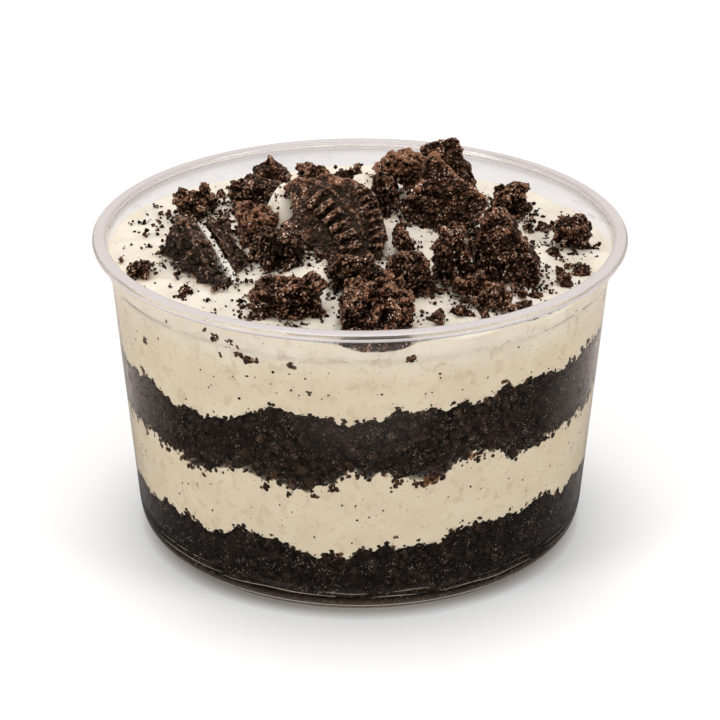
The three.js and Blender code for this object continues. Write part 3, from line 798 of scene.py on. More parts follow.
# How each kind of broken surface is made, in millimetres: the largest crumb that stands out of it and
# the share of it that crumbs cover, how deep its layers, broad dents and cracks go, its finer relief,
# and the size of the plates that its crumb breaks into
KNOBBLY = dict(lump=1.9, cover=0.36, strata=0.4, broad=1.8, cracks=0.9, ridges=0.6, fine=0.26, plates=0.85)
SANDY = dict(lump=0.8, cover=0.4, strata=0.15, broad=1, cracks=0.5, ridges=0.5, fine=0.28, plates=0.75)
LAYERED = dict(lump=1.4, cover=0.3, strata=1.1, broad=1.4, cracks=0.8, ridges=0.55, fine=0.25, plates=0.85)
EMBOSSED = dict(lump=0.8, cover=0.16, strata=0, broad=0.6, cracks=0.5, ridges=0.22, fine=0.16, plates=0.8)
LEAFY = dict(lump=1, cover=0.14, strata=0.4, broad=1.1, cracks=0.9, ridges=0.5, fine=0.2, plates=1.3)
SLAB = dict(lump=0.8, cover=0.25, strata=0.4, broad=0.55, cracks=0.4, ridges=0.3, fine=0.24, plates=1)
SMALLEST_LUMP = 0.25

# The kind of each piece that isn't knobbly
BROKEN = {
    "wafer_front_ribbed": EMBOSSED,
    "sandwich_wafer_outer": LEAFY,
    "sandwich_wafer_inner": EMBOSSED,
    "wafer_right_peak": SLAB,
    "wafer_back_upright": SLAB,
    "chunk_right_pyramid": SANDY,
    "chunk_back_left": SANDY,
    "chunk_front_left_bar": LAYERED,
    "chunk_left_back_layered": LAYERED,
    "chunk_back_top_brown": LAYERED,
}

# Pieces that are paler than the others, or darker, and by how much
BROWNER = {
    "chunk_left_brown": 0.34, "chunk_back_top_brown": 0.4, "chunk_back_middle_left": 0.1,
    "chunk_front_wall": 0.1, "chunk_front_left_bar": 0.03, "chunk_front_right_low": 0.05,
    "chunk_right_back_round": 0.02, "chunk_left_back_knobbly": 0.05, "chunk_left_dark": -0.22,
    "chunk_left_back_layered": -0.14, "chunk_left_edge_small": -0.28, "chunk_right_edge": -0.09,
    "chunk_middle_right": -0.09, "chunk_under_ribbed_left": -0.13, "chunk_under_ribbed_right": -0.08,
    "sandwich_wafer_outer": -0.24, "sandwich_wafer_inner": -0.1, "wafer_front_ribbed": 0.09,
    "wafer_back_upright": -0.05,
}

# Edges of wafers with a painted highlight that makes them paler: the wafer's plane, the edge's corners on it
# in millimetres, and by how much
PAINTED_EDGE_HIGHLIGHTS = {
    "wafer_right_peak": (PEAK, [(-1.7, 7.4), (2.2, 4.2), (6.3, 1.1), (9, -1)], 0.8),
    "sandwich_wafer_outer": (BARRED, [(2.8, 0.7), (-4.2, 4.4), (-7.4, 5.1)], 0.15),
    "wafer_front_ribbed": (RIBBED, [(-9, 6.5), (-4, 8), (2, 8.5)], 0.25),
}
EDGE_HIGHLIGHT_WIDTH = 0.85

# Sharp corners that are kept while a wafer's surface is broken up: the corner, the way out along it,
# how far round it the wafer is drawn out and how far out, in millimetres
SHARP_CORNERS = {
    "wafer_right_peak": ((14.5, 5.5, 72.7), (-0.42, 0.42, 0.8), 2.8, 1.5),
    "wafer_back_upright": ((18.5, 11, 73), (0, 0.1, 1), 2, 0.6),
}


def sharpened(places, corner, way, reach, pull):
    """The places with those near a corner drawn out along it."""
    distance = np.linalg.norm(places / MM - corner, axis=1)
    return places + pull * MM * np.exp(-((distance / reach) ** 2))[:, None] * np.array(way)


def painted_edge_highlight(places, plane, corners, gain):
    """How much paler each place is for lying near a wafer's painted edge highlight."""
    flat = plane.inside(places)[:, :2] / MM
    nearest = np.full(len(flat), np.inf)
    for start, end in zip(np.array(corners[:-1], float), np.array(corners[1:], float)):
        along = end - start
        share = np.clip((flat - start) @ along / (along @ along), 0, 1)
        away = np.linalg.norm(flat - start - share[:, None] * along, axis=1)
        nearest = np.minimum(nearest, away)
    return gain * np.exp(-((nearest / EDGE_HIGHLIGHT_WIDTH) ** 2))


def crumbly(node, piece, seed, lump, cover, strata, broad, cracks, ridges, fine, plates):
    """Breaks a plain solid's surface up into crumb, and notes how far each place stands out."""
    rng = np.random.default_rng(seed)
    remesh(piece, 0.3)
    modify(piece, "SMOOTH", factor=0.5, iterations=2)
    places, out = coordinates(piece), directions(piece)
    dents = broad * (wobble(places, 3.4 * MM, seed) - 0.3)
    dents += 0.5 * broad * wobble(places, 1.6 * MM, seed + 20)
    dents -= cracks * np.exp(-((wobble(places, 2.7 * MM, seed + 60) / 0.07) ** 2))
    beds = places * (0.16, 0.16, 1)
    dents += strata * (wobble(beds, 0.85 * MM, seed + 40) - 0.3)
    move_to(piece, places + np.minimum(dents, 0.35)[:, None] * MM * out)
    if node in SHARP_CORNERS:
        move_to(piece, sharpened(coordinates(piece), *SHARP_CORNERS[node]))
    if node in EMBOSSING:
        emboss(piece, *EMBOSSING[node])
    mean = 0.45 * SMALLEST_LUMP + 0.3 * lump
    count = int(cover * surface_area(piece) / (mean * MM) ** 2)
    spots, way = scatter_on(piece, count, rng)
    size = MM * (SMALLEST_LUMP + (lump - SMALLEST_LUMP) * rng.uniform(0, 1, count) ** 2.2)
    spots -= (0.22 * size)[:, None] * way
    crumbs = grains("crumbs", spots, size, seed, 2)
    pick(piece, crumbs)
    bpy.ops.object.join()
    remesh(piece, FINE_VOXEL)
    push(piece, "CLOUDS", 1.3, -ridges, 0.3, noise_type="HARD_NOISE", noise_depth=2)
    push(piece, "VORONOI", plates, fine, 0.25, weight_1=-1, weight_2=1, noise_intensity=2)
    push(piece, "CLOUDS", 0.5, -1.1 * fine, 0.3, noise_type="HARD_NOISE", noise_depth=1)
    push(piece, "VORONOI", 0.5, -0.55 * fine, 0.4)
    keep_inside(piece)
    # Each piece's own tone, with painted shade in pits and at the foot and painted light on crests and tops
    tone_and_painted_light = crest(piece) + painted_top_light_and_foot_shade(piece) + BROWNER.get(node, 0)
    # Painted highlight along some wafers' edges
    if node in PAINTED_EDGE_HIGHLIGHTS:
        tone_and_painted_light += painted_edge_highlight(coordinates(piece), *PAINTED_EDGE_HIGHLIGHTS[node])
    note_relief(piece, tone_and_painted_light)


def cookie_pieces(nodes, broken, face):
    for seed, node in enumerate(nodes):
        piece = copy_of(node, "cookie_" + node)
        kind = BROKEN.get(node, KNOBBLY)
        crumbly(node, piece, seed, **kind)
        finish(piece, face if kind in (EMBOSSED, LEAFY) else broken, "cookie", node)


def sugar_filling(material):
    piece = copy_of("sandwich_filling", "cookie_filling")
    remesh(piece, 0.2)
    push(piece, "CLOUDS", 1.1, 0.55, 0.55)
    smooth(piece)
    finish(piece, material, "filling", "sandwich_filling")
    return piece


# Crumbs on and in the filling

def fused_crumbs():
    """Place and size of each crumb that the frame has fused to the upper filling."""
    solid = copy_of("cream_upper", "search")
    places = coordinates(solid)
    above = places[:, 2] - cream_height(places[:, 0], places[:, 1])
    stands = (above > 0.15 * MM) & (places[:, 2] > 0.052)
    group = {int(i): int(i) for i in np.flatnonzero(stands)}

    def root_of(i):
        while group[i] != i:
            i = group[i]
        return i

    for edge in solid.data.edges:
        a, b = edge.vertices
        if a in group and b in group:
            group[root_of(a)] = root_of(b)
    members = {}
    for i in group:
        members.setdefault(root_of(i), []).append(i)
    bpy.data.objects.remove(solid)
    crumbs = []
    for one in members.values():
        low, high = places[one].min(axis=0), places[one].max(axis=0)
        size = max(high[0] - low[0], high[1] - low[1])
        if size > 0.6 * MM:
            crumbs.append(((low + high) / 2, size))
    return crumbs


# Heaps of rubble between the cookie pieces: across, back, spread and height, in millimetres
RUBBLE = [
    (-21, -9.8, 2.2, 4), (-19.4, -13.4, 2.4, 4), (-24, 4, 2.2, 3), (-20.5, 5.5, 2.6, 4),
    (-14.5, 12, 2.2, 4.5), (5, -32, 2.6, 3.5), (6.5, -21, 2.6, 4.5), (21.5, -23, 2.2, 4.5),
    (21.5, -29.5, 2.4, 2), (19.5, -9, 2.4, 4), (23, -3, 2.4, 3.5), (8, -9, 2, 2.5), (8, 5, 2.6, 4),
    (13, 14, 3, 4), (37.4, -18.3, 1.5, 2.2), (41, -13, 1, 1.4), (31.8, -25, 1, 1.2),
    (28.4, -23.5, 1, 1), (13.8, -36, 1.1, 1.4), (18, -33.5, 1.2, 1.6), (36.3, -2.7, 1, 1.2),
    (-31.4, -26, 1.1, 1.4), (-17, -37, 1, 1), (29.5, -29.5, 1, 1),
]
CRUMBS_IN_HEAP = 14

# Crumbs that the front piece presses to the wall: their angles, heights and radius
FRONT_ANGLES = np.arange(-3.4, 9.7, 1.3)
FRONT_HEIGHTS = (56.5, 57.6, 58.7)
FRONT_RADIUS = 46.3 * MM


def rubble(rng):
    """Places and sizes of the crumbs in the gaps, and of those that the front piece presses to the wall."""
    spots = []
    for across, back, spread, tall in RUBBLE:
        for _ in range(CRUMBS_IN_HEAP):
            x, y = MM * rng.normal((across, back), 0.5 * spread)
            square = (x / MM - across) ** 2 + (y / MM - back) ** 2
            up = rng.uniform(0, 1) * tall * math.exp(-square / spread**2)
            place = np.array([x, y, float(spooned_height(x, y)) + up * MM])
            spots.append((place, rng.uniform(0.9, 2.5) * MM))
    for angle in FRONT_ANGLES:
        for height in FRONT_HEIGHTS:
            size = rng.uniform(1.8, 3) * MM
            level = height * MM + rng.uniform(-0.4, 0.4) * MM
            spots.append((around(angle, FRONT_RADIUS, level), size))
    return spots


def top_crumbs(material):
    """The larger crumbs on the filling, each a knot of smaller ones."""
    rng = np.random.default_rng(51)
    centres, sizes = [], []
    for place, size in fused_crumbs() + rubble(rng):
        knots = 5 + int(3 * size / MM)
        ways = rng.normal(size=(knots, 3))
        ways /= np.linalg.norm(ways, axis=1)[:, None]
        middle = place - (0, 0, 0.1 * size)
        centres += [middle, *(middle + 0.3 * size * ways)]
        sizes += [0.75 * size, *(size * rng.uniform(0.2, 0.5, knots))]
    piece = grains("crumbs_large", np.array(centres), np.array(sizes), 51, 2)
    remesh(piece, FINE_VOXEL)
    push(piece, "VORONOI", 0.5, -0.25, 0.4)
    keep_inside(piece)
    note_relief(piece, crest(piece))
    finish(piece, material, "cookie", "cream_upper")


TRIED = 60000  # places tried for the crumbs that rain on the filling
RAIN_RADIUS = 45.5 * MM
FINE_CRUMBS = 4800
SUGAR_CRUMBS = 420  # on the sandwich's filling
SMALL_CRUMBS = 1050
SMALL_KNOT = 6  # grains in each small crumb


def rained(rng, cookies, count, reach, sparse):
    """Places on the filling, thick within this reach of the cookie pieces and sparse away from them."""
    radius = RAIN_RADIUS * np.sqrt(rng.uniform(0, 1, TRIED))
    angle = rng.uniform(0, 360, TRIED)
    places = around(angle, radius, 0)
    places[:, 2] = spooned_height(places[:, 0], places[:, 1])
    chosen = []
    for place, luck in zip(places, rng.uniform(0, 1, TRIED)):
        near = cookies.find_nearest(Vector(place))[3]
        likely = 0.6 * math.exp(-near / reach) + sparse
        clump = 0.3 + 1.6 * max(0, noise.noise(Vector(place) / (5 * MM)) + 0.2)
        if luck < likely * clump:
            chosen.append(place)
    return np.array(chosen[:count])


def fine_crumbs(material, cookies, sugar_piece):
    """Crumbs that rained on the filling, and some on the sandwich's filling: single ones and knots."""
    rng = np.random.default_rng(77)
    centres = rained(rng, cookies, FINE_CRUMBS, 1.7 * MM, 0.035)
    spots, _ = scatter_on(sugar_piece, SUGAR_CRUMBS, rng)
    centres = np.vstack([centres, spots])
    sizes = MM * (0.2 + 0.7 * rng.uniform(0, 1, len(centres)) ** 2.6)
    centres[:, 2] += 0.2 * sizes
    finish(grains("crumbs_fine", centres, sizes, 52, 1), material, "cookie", "cream_upper")
    knots = rained(rng, cookies, SMALL_CRUMBS, 2 * MM, 0.05)
    knot_sizes = MM * (0.6 + 1.7 * rng.uniform(0, 1, len(knots)) ** 2)
    centres = np.repeat(knots, SMALL_KNOT, axis=0)
    whole = np.repeat(knot_sizes, SMALL_KNOT)
    sizes = whole * rng.uniform(0.35, 0.75, len(centres))
    centres += 0.28 * whole[:, None] * rng.normal(size=centres.shape)
    centres[:, 2] += 0.25 * sizes
    finish(grains("crumbs_small", centres, sizes, 53, 1), material, "cookie", "cream_upper")


# Crumbs that lie against the wall inside the filling: angle, height and size in millimetres
WALL_CRUMBS = [
    (-56.7, 48.4, 1.3), (-34.3, 56.3, 0.9), (-31.9, 55.3, 1.2), (-28.3, 55.2, 1), (-27.1, 53.4, 1.6),
    (-25, 52.6, 2.1), (-22.9, 52.5, 1), (-31.3, 51.8, 0.7), (-14.7, 52.2, 1.1), (11, 54, 1.4),
    (8.5, 17.4, 0.7), (15.7, 29, 2.4), (-10.9, 47.1, 0.7), (-46.1, 55.2, 0.5), (118, 50, 1.8),
    (160, 52, 1.3), (-140, 47, 1.5), (75, 51, 1), (-100, 22, 1.1),
]
PRESSED = 0.16  # how much of its thickness a crumb keeps between the filling and the wall
EDGE_KNOTS = 150
WALL_KNOT = 7  # grains in each crumb at the wall
WALL_SPECKS = 900
LOWER_SHARE = 0.45  # of the specks, in the lower filling
EDGE_CRUMBS = 1200


def beside_layers(angle, stray, side):
    """Heights in the filling: by side, over the base, or under or over the middle crumb."""
    lower, upper = Edges("cream_lower"), Edges("cream_upper")
    heights = [lower.low(angle) + stray, lower.high(angle) - stray, upper.low(angle) + stray]
    return np.choose(side, heights)


def edge_knots(rng):
    """Angle, height and size of the soaked knots on the layers' edges, most of them under the middle one."""
    angle = rng.uniform(0, 360, EDGE_KNOTS)
    stray = np.abs(rng.normal(0, 0.8 * MM, EDGE_KNOTS))
    side = rng.choice((1, 2, 0), EDGE_KNOTS, p=(0.6, 0.25, 0.15))
    height = beside_layers(angle, stray, side)
    return np.stack([angle, height / MM, rng.uniform(0.4, 1.3, EDGE_KNOTS)], axis=1)


def wall_crumbs(material):
    """The crumbs that lie against the wall inside the filling, each a flat knot."""
    rng = np.random.default_rng(63)
    known = np.repeat(np.vstack([WALL_CRUMBS, edge_knots(rng)]), WALL_KNOT, axis=0)
    whole = 1.35 * MM * known[:, 2]
    angle = known[:, 0] + np.degrees(0.22 * whole * rng.normal(size=len(known)) / (47 * MM))
    height = known[:, 1] * MM + 0.22 * whole * rng.normal(size=len(known))
    sizes = whole * rng.uniform(0.4, 0.75, len(known))
    centres = around(angle, wall_radius(height) + CREAM_REACH, height)
    piece = grains("crumbs_at_wall", centres, sizes, 64, 2, (around(angle, 1.0, 0.0), PRESSED))
    finish(piece, material, "cookie", "cream_upper", "cream_lower")


def wall_specks(material):
    """Dark specks all through the filling, where they show at the wall, and more at the layers' edges."""
    rng = np.random.default_rng(61)
    lower, upper = Edges("cream_lower"), Edges("cream_upper")
    angle = rng.uniform(0, 360, WALL_SPECKS)
    share = rng.uniform(0, 1, WALL_SPECKS)
    height = np.where(
        np.arange(WALL_SPECKS) < LOWER_SHARE * WALL_SPECKS,
        lower.low(angle) + share * (lower.high(angle) - lower.low(angle)),
        upper.low(angle) + share * (TOP_EDGE - upper.low(angle)),
    )
    size = MM * (0.16 + 0.55 * rng.uniform(0, 1, WALL_SPECKS) ** 3)
    edge_angle = rng.uniform(0, 360, EDGE_CRUMBS)
    stray = np.abs(rng.normal(0, 0.45 * MM, EDGE_CRUMBS)) - 0.25 * MM
    edge_height = beside_layers(edge_angle, stray, rng.integers(0, 3, EDGE_CRUMBS))
    edge_size = MM * (0.35 + 1.3 * rng.uniform(0, 1, EDGE_CRUMBS) ** 2)
    angles = np.concatenate([angle, edge_angle])
    heights = np.concatenate([height, edge_height])
    sizes = np.concatenate([size, edge_size])
    centres = around(angles, wall_radius(heights) + CREAM_REACH, heights)
    piece = grains("specks_at_wall", centres, sizes, 62, 1, (around(angles, 1.0, 0.0), PRESSED))
    finish(piece, material, "crumb", "cream_lower", "cream_upper")


# Materials

def feed(tree, node, values):
    """Gives a node its values. One that is a socket is linked, and any other is set."""
    for key, value in values.items():
        if isinstance(value, bpy.types.NodeSocket):
            tree.links.new(value, node.inputs[key])
        else:
            node.inputs[key].default_value = value


def put(tree, kind, values=None, **settings):
    """Adds a node with its settings and values."""
    made = tree.nodes.new("ShaderNode" + kind)
    for key, value in settings.items():
        setattr(made, key, value)
    feed(tree, made, values or {})
    return made


def maths(tree, operation, first, second=0.0, clamp=False):
    made = put(tree, "Math", {0: first, 1: second}, operation=operation, use_clamp=clamp)
    return made.outputs[0]


def times(tree, first, second):
    return maths(tree, "MULTIPLY", first, second)


def plus(tree, first, second, clamp=False):
    return maths(tree, "ADD", first, second, clamp)


def about_half(tree, value, gain):
    """How far a value is from one half, times this gain."""
    return times(tree, maths(tree, "SUBTRACT", value, 0.5), gain)


def rise(tree, value, start, end, low=0.0, high=1.0):
    """Goes from low to high while a value goes from start to end."""
    return put(tree, "MapRange", {"Value": value, 1: start, 2: end, 3: low, 4: high}).outputs[0]


def clouds(tree, place, scale, detail, **more):
    """A noise with this many features a metre."""
    return put(tree, "TexNoise", {"Vector": place, "Scale": scale, "Detail": detail, **more}).outputs[0]


def own_place(tree):
    return put(tree, "TexCoord").outputs["Object"]


def noted(tree, name):
    """A value that the piece carries as an attribute."""
    return put(tree, "Attribute", attribute_name=name).outputs["Fac"]


def bumps(tree, height, strength, distance):
    return put(tree, "Bump", {"Height": height, "Strength": strength, "Distance": distance}).outputs[0]


def ramp(tree, factor, stops):
    """A run of colours, as (place, colour) stops."""
    made = put(tree, "ValToRGB", {"Fac": factor})
    elements = made.color_ramp.elements
    elements.remove(elements[1])
    elements[0].position, elements[0].color = stops[0][0], (*stops[0][1], 1)
    for place, colour in stops[1:]:
        elements.new(place).color = (*colour, 1)
    return made.outputs["Color"]


def blend(tree, factor, first, second):
    made = put(tree, "Mix", {0: factor, 6: first, 7: second}, data_type="RGBA")
    return made.outputs[2]


def new_material(name):
    made = bpy.data.materials.new(name)
    made.use_nodes = True
    tree = made.node_tree
    return made, tree, tree.nodes["Principled BSDF"]


GRIT_SOCKETS = (
    ("Vector", "INPUT", "Vector"), ("Grains per metre", "INPUT", "Float"), ("Height", "OUTPUT", "Float"),
    ("Painted glint", "OUTPUT", "Float"), ("Grain", "OUTPUT", "Float"),
)


def grit_group():
    """Sandy crumb texture: a height for bumps, paler and darker grains with painted shade at their edges,
    and a mask for painted glints.
    """
    group = bpy.data.node_groups.new("crumb grit", "ShaderNodeTree")
    for name, way, kind in GRIT_SOCKETS:
        group.interface.new_socket(name=name, in_out=way, socket_type="NodeSocket" + kind)
    enter = group.nodes.new("NodeGroupInput")
    leave = group.nodes.new("NodeGroupOutput")
    place, scale = enter.outputs[0], enter.outputs[1]
    cells = put(group, "TexVoronoi", {"Vector": place, "Scale": scale})
    sand = clouds(group, place, scale, 3.0, Roughness=0.65)
    hump = maths(group, "SUBTRACT", 1.0, cells.outputs["Distance"])
    height = plus(group, times(group, hump, 0.6), sand)
    cell_colour = put(group, "SeparateColor", {0: cells.outputs["Color"]})
    chosen = maths(group, "GREATER_THAN", cell_colour.outputs[0], 0.77)
    coarse = put(group, "TexVoronoi", {"Vector": place, "Scale": times(group, scale, 0.6)})
    coarse_colour = put(group, "SeparateColor", {0: coarse.outputs["Color"]})
    # Painted shade: each coarse grain is paler at its middle and darker towards its edges, where grains meet
    middle = times(group, maths(group, "SUBTRACT", 0.75, coarse.outputs["Distance"]), 0.8)
    lot = times(group, coarse_colour.outputs[1], 0.5)
    grain = plus(group, plus(group, middle, lot), about_half(group, sand, 1.6), clamp=True)
    heart = maths(group, "LESS_THAN", cells.outputs["Distance"], 0.42)
    gathered = rise(group, clouds(group, place, 420.0, 2.0), 0.48, 0.6, 0.05)
    painted_glint = times(group, times(group, chosen, heart), gathered)
    feed(group, leave, {"Height": height, "Painted glint": painted_glint, "Grain": grain})
    return group


def plastic(name, colour, roughness, clearness):
    made, tree, skin = new_material(name)
    feed(tree, skin, {
        "Base Color": (*colour, 1), "Roughness": roughness, "IOR": 1.53, "Transmission Weight": clearness,
    })
    return made


# Specks in the filling: how many a metre, and their size
SPECKS = ((420.0, 0.055), (250.0, 0.05), (760.0, 0.07))


def filling_cream():
    made, tree, skin = new_material("cheesecake filling")
    place = own_place(tree)
    wall = noted(tree, "wall")
    cloud = clouds(tree, place, 160.0, 4.0)
    top = ramp(tree, cloud, [(0.3, (0.81, 0.72, 0.58)), (0.7, (0.9, 0.828, 0.705))])
    wet = ramp(tree, cloud, [(0.3, (0.74, 0.61, 0.43)), (0.7, (0.80, 0.68, 0.50))])
    height = put(tree, "SeparateXYZ", {0: place}).outputs["Z"]
    deep = rise(tree, height, 0.049, 0.0545, 1.0, 0.25)
    colour = blend(tree, times(tree, wall, deep), top, wet)
    colour = blend(tree, times(tree, noted(tree, "stain"), 0.45), colour, (0.42, 0.26, 0.13, 1))
    smeared = rise(tree, clouds(tree, place, 480.0, 5.0, Distortion=0.6), 0.54, 0.7, 0.0, 0.34)
    colour = blend(tree, times(tree, smeared, wall), colour, (0.5, 0.34, 0.19, 1))
    for scale, reach in SPECKS:
        dots = put(tree, "TexVoronoi", {"Vector": place, "Scale": scale, "Randomness": 1.0})
        speck = maths(tree, "LESS_THAN", dots.outputs["Distance"], reach)
        colour = blend(tree, times(tree, speck, 0.6), colour, (0.12, 0.075, 0.045, 1))
    folds = plus(tree, times(tree, clouds(tree, place, 900.0, 3.0), 0.35), cloud)
    feed(tree, skin, {
        "Base Color": colour, "Roughness": 0.42, "Subsurface Weight": 0.25,
        "Subsurface Radius": (1.0, 0.7, 0.4), "Subsurface Scale": 0.0016,
        "Normal": bumps(tree, folds, 0.35, 0.4 * MM),
    })
    return made


def sugar():
    made, tree, skin = new_material("sugar filling")
    cloud = clouds(tree, own_place(tree), 700.0, 4.0)
    colour = ramp(tree, cloud, [(0.3, (0.74, 0.68, 0.58)), (0.7, (0.86, 0.82, 0.74))])
    feed(tree, skin, {
        "Base Color": colour, "Roughness": 0.5, "Normal": bumps(tree, cloud, 0.3, 0.3 * MM),
    })
    return made


def packed_crumb(grit):
    """Moist crumb behind the wall: nearly black, some grains browner, paler higher up, and painted glints on
    a few grains besides their own sheen.
    """
    made, tree, skin = new_material("packed cookie crumb")
    place = own_place(tree)
    sand = put(tree, "Group", {"Vector": place, "Grains per metre": 3700.0}, node_tree=grit).outputs
    # Painted haze: the middle crumb, higher up, is paler, for the wall's reflection over it
    raised = rise(tree, put(tree, "SeparateXYZ", {0: place}).outputs["Z"], 0.018, 0.028, 0.0, 0.16)
    shade = plus(tree, times(tree, noted(tree, "tint"), 0.6), times(tree, sand["Grain"], 0.35))
    colour = ramp(tree, plus(tree, shade, raised), [
        (0.1, (0.004, 0.002, 0.0011)), (0.5, (0.010, 0.0055, 0.0032)),
        (0.8, (0.026, 0.0138, 0.0078)), (1.0, (0.075, 0.039, 0.021)),
    ])
    # Painted glints on a few grains
    colour = blend(tree, times(tree, sand["Painted glint"], 0.9), colour, (0.34, 0.28, 0.23, 1))
    feed(tree, skin, {
        "Base Color": colour, "Roughness": 0.27, "Specular IOR Level": 0.36,
        "Specular Tint": (1, 0.78, 0.62, 1), "Normal": bumps(tree, sand["Height"], 0.8, 0.3 * MM),
    })
    return made


def baked_cookie(name, grit, stand="crest", reach=0.6, level=0.6, gleam=0.13, sandy=0.48, sparkle=1.0,
                 sheen=(1, 0.58, 0.38)):
    """Dark sandy cookie: crests get a warm brown as painted light, hollows stay nearly black as painted
    shade, and grains and sharp edges get painted glints.

    stand is the attribute that its colour goes by, reach how far it does, and level the colour's middle.
    """
    made, tree, skin = new_material(name)
    place = own_place(tree)
    sand = put(tree, "Group", {"Vector": place, "Grains per metre": 3000.0}, node_tree=grit).outputs
    patch = about_half(tree, clouds(tree, place, 420.0, 3.0), 1.05)
    regions = plus(tree, patch, about_half(tree, clouds(tree, place, 1500.0, 2.0), 0.6))
    broad = plus(tree, about_half(tree, noted(tree, stand), reach), regions)
    factor = plus(tree, plus(tree, broad, about_half(tree, sand["Grain"], sandy)), level)
    colour = ramp(tree, factor, [
        (0.42, (0.0008, 0.0002, 0.0001)), (0.55, (0.0055, 0.0018, 0.0008)), (0.67, (0.018, 0.0065, 0.003)),
        (0.79, (0.045, 0.0165, 0.0075)), (0.92, (0.125, 0.052, 0.026)), (1.0, (0.26, 0.12, 0.066)),
    ])
    # Painted highlights: pale strokes along the sharpest edges, in patches
    lit = rise(tree, clouds(tree, place, 900.0, 2.0), 0.44, 0.6, 0.0, 0.95)
    colour = blend(tree, times(tree, noted(tree, "edge"), lit), colour, (0.4, 0.26, 0.18, 1))
    # Painted glints on the paler places
    standing = rise(tree, factor, 0.54, 0.7, 0.0, sparkle)
    colour = blend(tree, times(tree, sand["Painted glint"], standing), colour, (0.9, 0.74, 0.62, 1))
    feed(tree, skin, {
        "Base Color": colour, "Roughness": 0.36, "Specular IOR Level": gleam,
        "Specular Tint": (*sheen, 1), "Normal": bumps(tree, sand["Height"], 0.5, 0.2 * MM),
    })
    return made


def wet_crumb():
    """Crumbs soaked by the filling at the wall: dark brown, with orange-brown patches."""
    made, tree, skin = new_material("soaked cookie crumb")
    colour = ramp(tree, clouds(tree, own_place(tree), 1100.0, 3.0), [
        (0.42, (0.016, 0.006, 0.003)), (0.53, (0.055, 0.021, 0.009)),
        (0.63, (0.2, 0.085, 0.035)), (0.74, (0.4, 0.22, 0.11)),
    ])
    feed(tree, skin, {"Base Color": colour, "Roughness": 0.5, "Specular IOR Level": 0.2})
    return made


# Light, floor and camera

SEEN_THROUGH = (0.74, 0.71, 0.705, 1)  # how white looks through the clear plastic
RAY_KINDS = ("Transmission", "Glossy", "Diffuse")


def by_ray(tree, plain, mirrored, scattered):
    """What a ray meets: white for the camera, duller through plastic, and a level each for light's ways."""
    ray = put(tree, "LightPath")
    been = {kind: maths(tree, "GREATER_THAN", ray.outputs[kind + " Depth"], 0.5) for kind in RAY_KINDS}
    colour = blend(tree, been["Transmission"], plain, SEEN_THROUGH)
    colour = blend(tree, been["Glossy"], colour, mirrored)
    return blend(tree, been["Diffuse"], colour, scattered)


def warm_grey(tree, level):
    green, blue = times(tree, level, 0.87), times(tree, level, 0.79)
    return put(tree, "CombineColor", {0: level, 1: green, 2: blue}).outputs[0]


def studio_world():
    """A light tent with a dark opening on the viewer's side."""
    world = bpy.data.worlds.new("studio")
    bpy.context.scene.world = world
    world.use_nodes = True
    tree = world.node_tree
    way = put(tree, "SeparateXYZ", {0: put(tree, "TexCoord").outputs["Generated"]}).outputs
    beyond = plus(tree, times(tree, way["Y"], 0.45), times(tree, way["Z"], 0.35))
    mirrored = plus(tree, beyond, 0.3, clamp=True)
    colour = by_ray(tree, (1, 1, 1, 1), warm_grey(tree, mirrored), (0.59, 0.59, 0.59, 1))
    feed(tree, tree.nodes["Background"], {"Color": colour})


def studio_floor():
    bpy.ops.mesh.primitive_plane_add(size=8, location=(0, 0, -0.02 * MM))
    floor = bpy.context.object
    floor.name = "floor"
    made, tree, skin = new_material("pale floor")
    place = own_place(tree)
    depth = put(tree, "SeparateXYZ", {0: place}).outputs["Y"]
    ahead = plus(tree, times(tree, depth, 5.0), 0.12, clamp=True)
    flat = put(tree, "VectorMath", {0: place, 1: (1, 1, 0)}, operation="MULTIPLY").outputs[0]
    radius = put(tree, "VectorMath", {0: flat}, operation="LENGTH").outputs["Value"]
    # Painted reflection: the floor right round the pot's foot looks brighter in reflections
    beside = rise(tree, radius, 0.041, 0.046, 0.65, 0.0)
    # Painted contact shadow: for camera rays the floor is darker in a ring round the pot's foot
    plain = blend(tree, rise(tree, radius, 0.0405, 0.044), (0.47, 0.43, 0.38, 1), (0.98, 0.98, 0.98, 1))
    in_front = rise(tree, depth, -0.15, -0.085, 0.95, 0.0)
    mirrored = maths(tree, "MAXIMUM", maths(tree, "MAXIMUM", ahead, beside), in_front)
    colour = by_ray(tree, plain, warm_grey(tree, mirrored), (0.66, 0.66, 0.66, 1))
    # Painted light: the floor also glows faintly, which lightens the shadows on it
    feed(tree, skin, {
        "Base Color": colour, "Roughness": 1, "Specular IOR Level": 0,
        "Emission Color": (1, 1, 1, 1), "Emission Strength": 0.045,
    })
    floor.data.materials.append(made)


def soft_light(name, place, size, watts):
    """A rectangular light that looks at the pot."""
    bpy.ops.object.light_add(type="AREA", location=place)
    light = bpy.context.object
    light.name = name
    light.data.shape = "RECTANGLE"
    light.data.size, light.data.size_y = size
    light.data.energy = watts
    light.visible_transmission = False
    aim = Vector((0, 0, 0.04)) - Vector(place)
    light.rotation_euler = aim.to_track_quat("-Z", "Y").to_euler()


LOOKED_AT = Vector((0, 0, 0.03218))
RAISED = math.radians(24.95)
AWAY = 0.45
LENS = 115.83


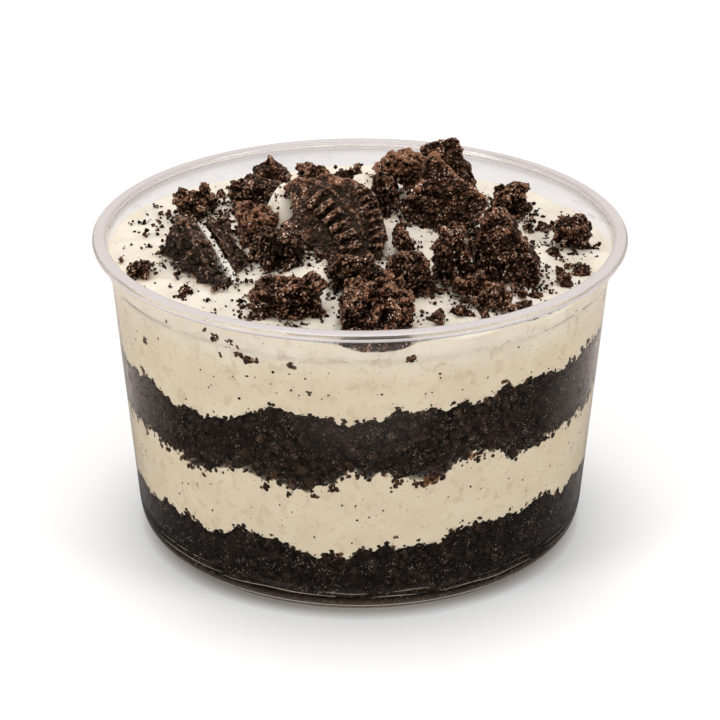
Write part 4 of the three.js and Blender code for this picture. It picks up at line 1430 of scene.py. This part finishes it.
def camera():
    """The photograph's viewing angle, distance and framing."""
    way = Vector((0, -math.cos(RAISED), math.sin(RAISED)))
    bpy.ops.object.camera_add(location=LOOKED_AT + AWAY * way)
    eye = bpy.context.object
    eye.rotation_euler = (LOOKED_AT - eye.location).to_track_quat("-Z", "Y").to_euler()
    eye.data.sensor_width = 36
    eye.data.lens = LENS
    eye.data.clip_start = 0.01
    bpy.context.scene.camera = eye


def studio():
    camera()
    studio_world()
    studio_floor()
    soft_light("light_above", (-0.02, 0.15, 0.8), (0.4, 0.4), 2.15)
    soft_light("light_left", (-0.65, -0.45, 0.4), (0.3, 0.3), 2.5)
    soft_light("light_right", (0.65, -0.35, 0.4), (0.3, 0.3), 2)
    view = bpy.context.scene.view_settings
    view.view_transform = "Standard"
    view.look = "None"


# The whole pot

def cookie_surface(nodes):
    """All cookie pieces of the frame as one tree, for distances to them."""
    points, faces = [], []
    for node in nodes:
        mesh = frame["nodes"][node].data
        start = len(points)
        points += [vertex.co.copy() for vertex in mesh.vertices]
        faces += [[start + i for i in face.vertices] for face in mesh.polygons]
    return BVHTree.FromPolygons(points, faces)


def build():
    parts = frame["record"]["subparts"]
    cookie_nodes = [part["node"] for part in parts if part["material_slot"] == "cookie"]
    cookies = cookie_surface(cookie_nodes)
    grit = grit_group()
    cream = filling_cream()
    crumb = packed_crumb(grit)
    cookie = baked_cookie("dark cookie", grit)
    loose = baked_cookie("loose cookie crumb", grit, "tint", 0.35, 0.66)
    clear_pot()
    air_lines(plastic("light in the wall", (0.6, 0.5, 0.4), 0.4, 0))
    cream_lower_piece(cream)
    cream_upper_piece(cream, cookies)
    crumb_layer("crumb_base", "base_crumb", 21, crumb)
    crumb_layer("crumb_middle", "middle_crumb", 31, crumb)
    wall_specks(crumb)
    wall_crumbs(wet_crumb())
    face = baked_cookie("cookie face", grit, gleam=0.3, sandy=0.45, sparkle=0.9, sheen=(1, 0.72, 0.55))
    cookie_pieces(cookie_nodes, cookie, face)
    sugar_piece = sugar_filling(sugar())
    top_crumbs(cookie)
    fine_crumbs(loose, cookies, sugar_piece)


studio()
build()
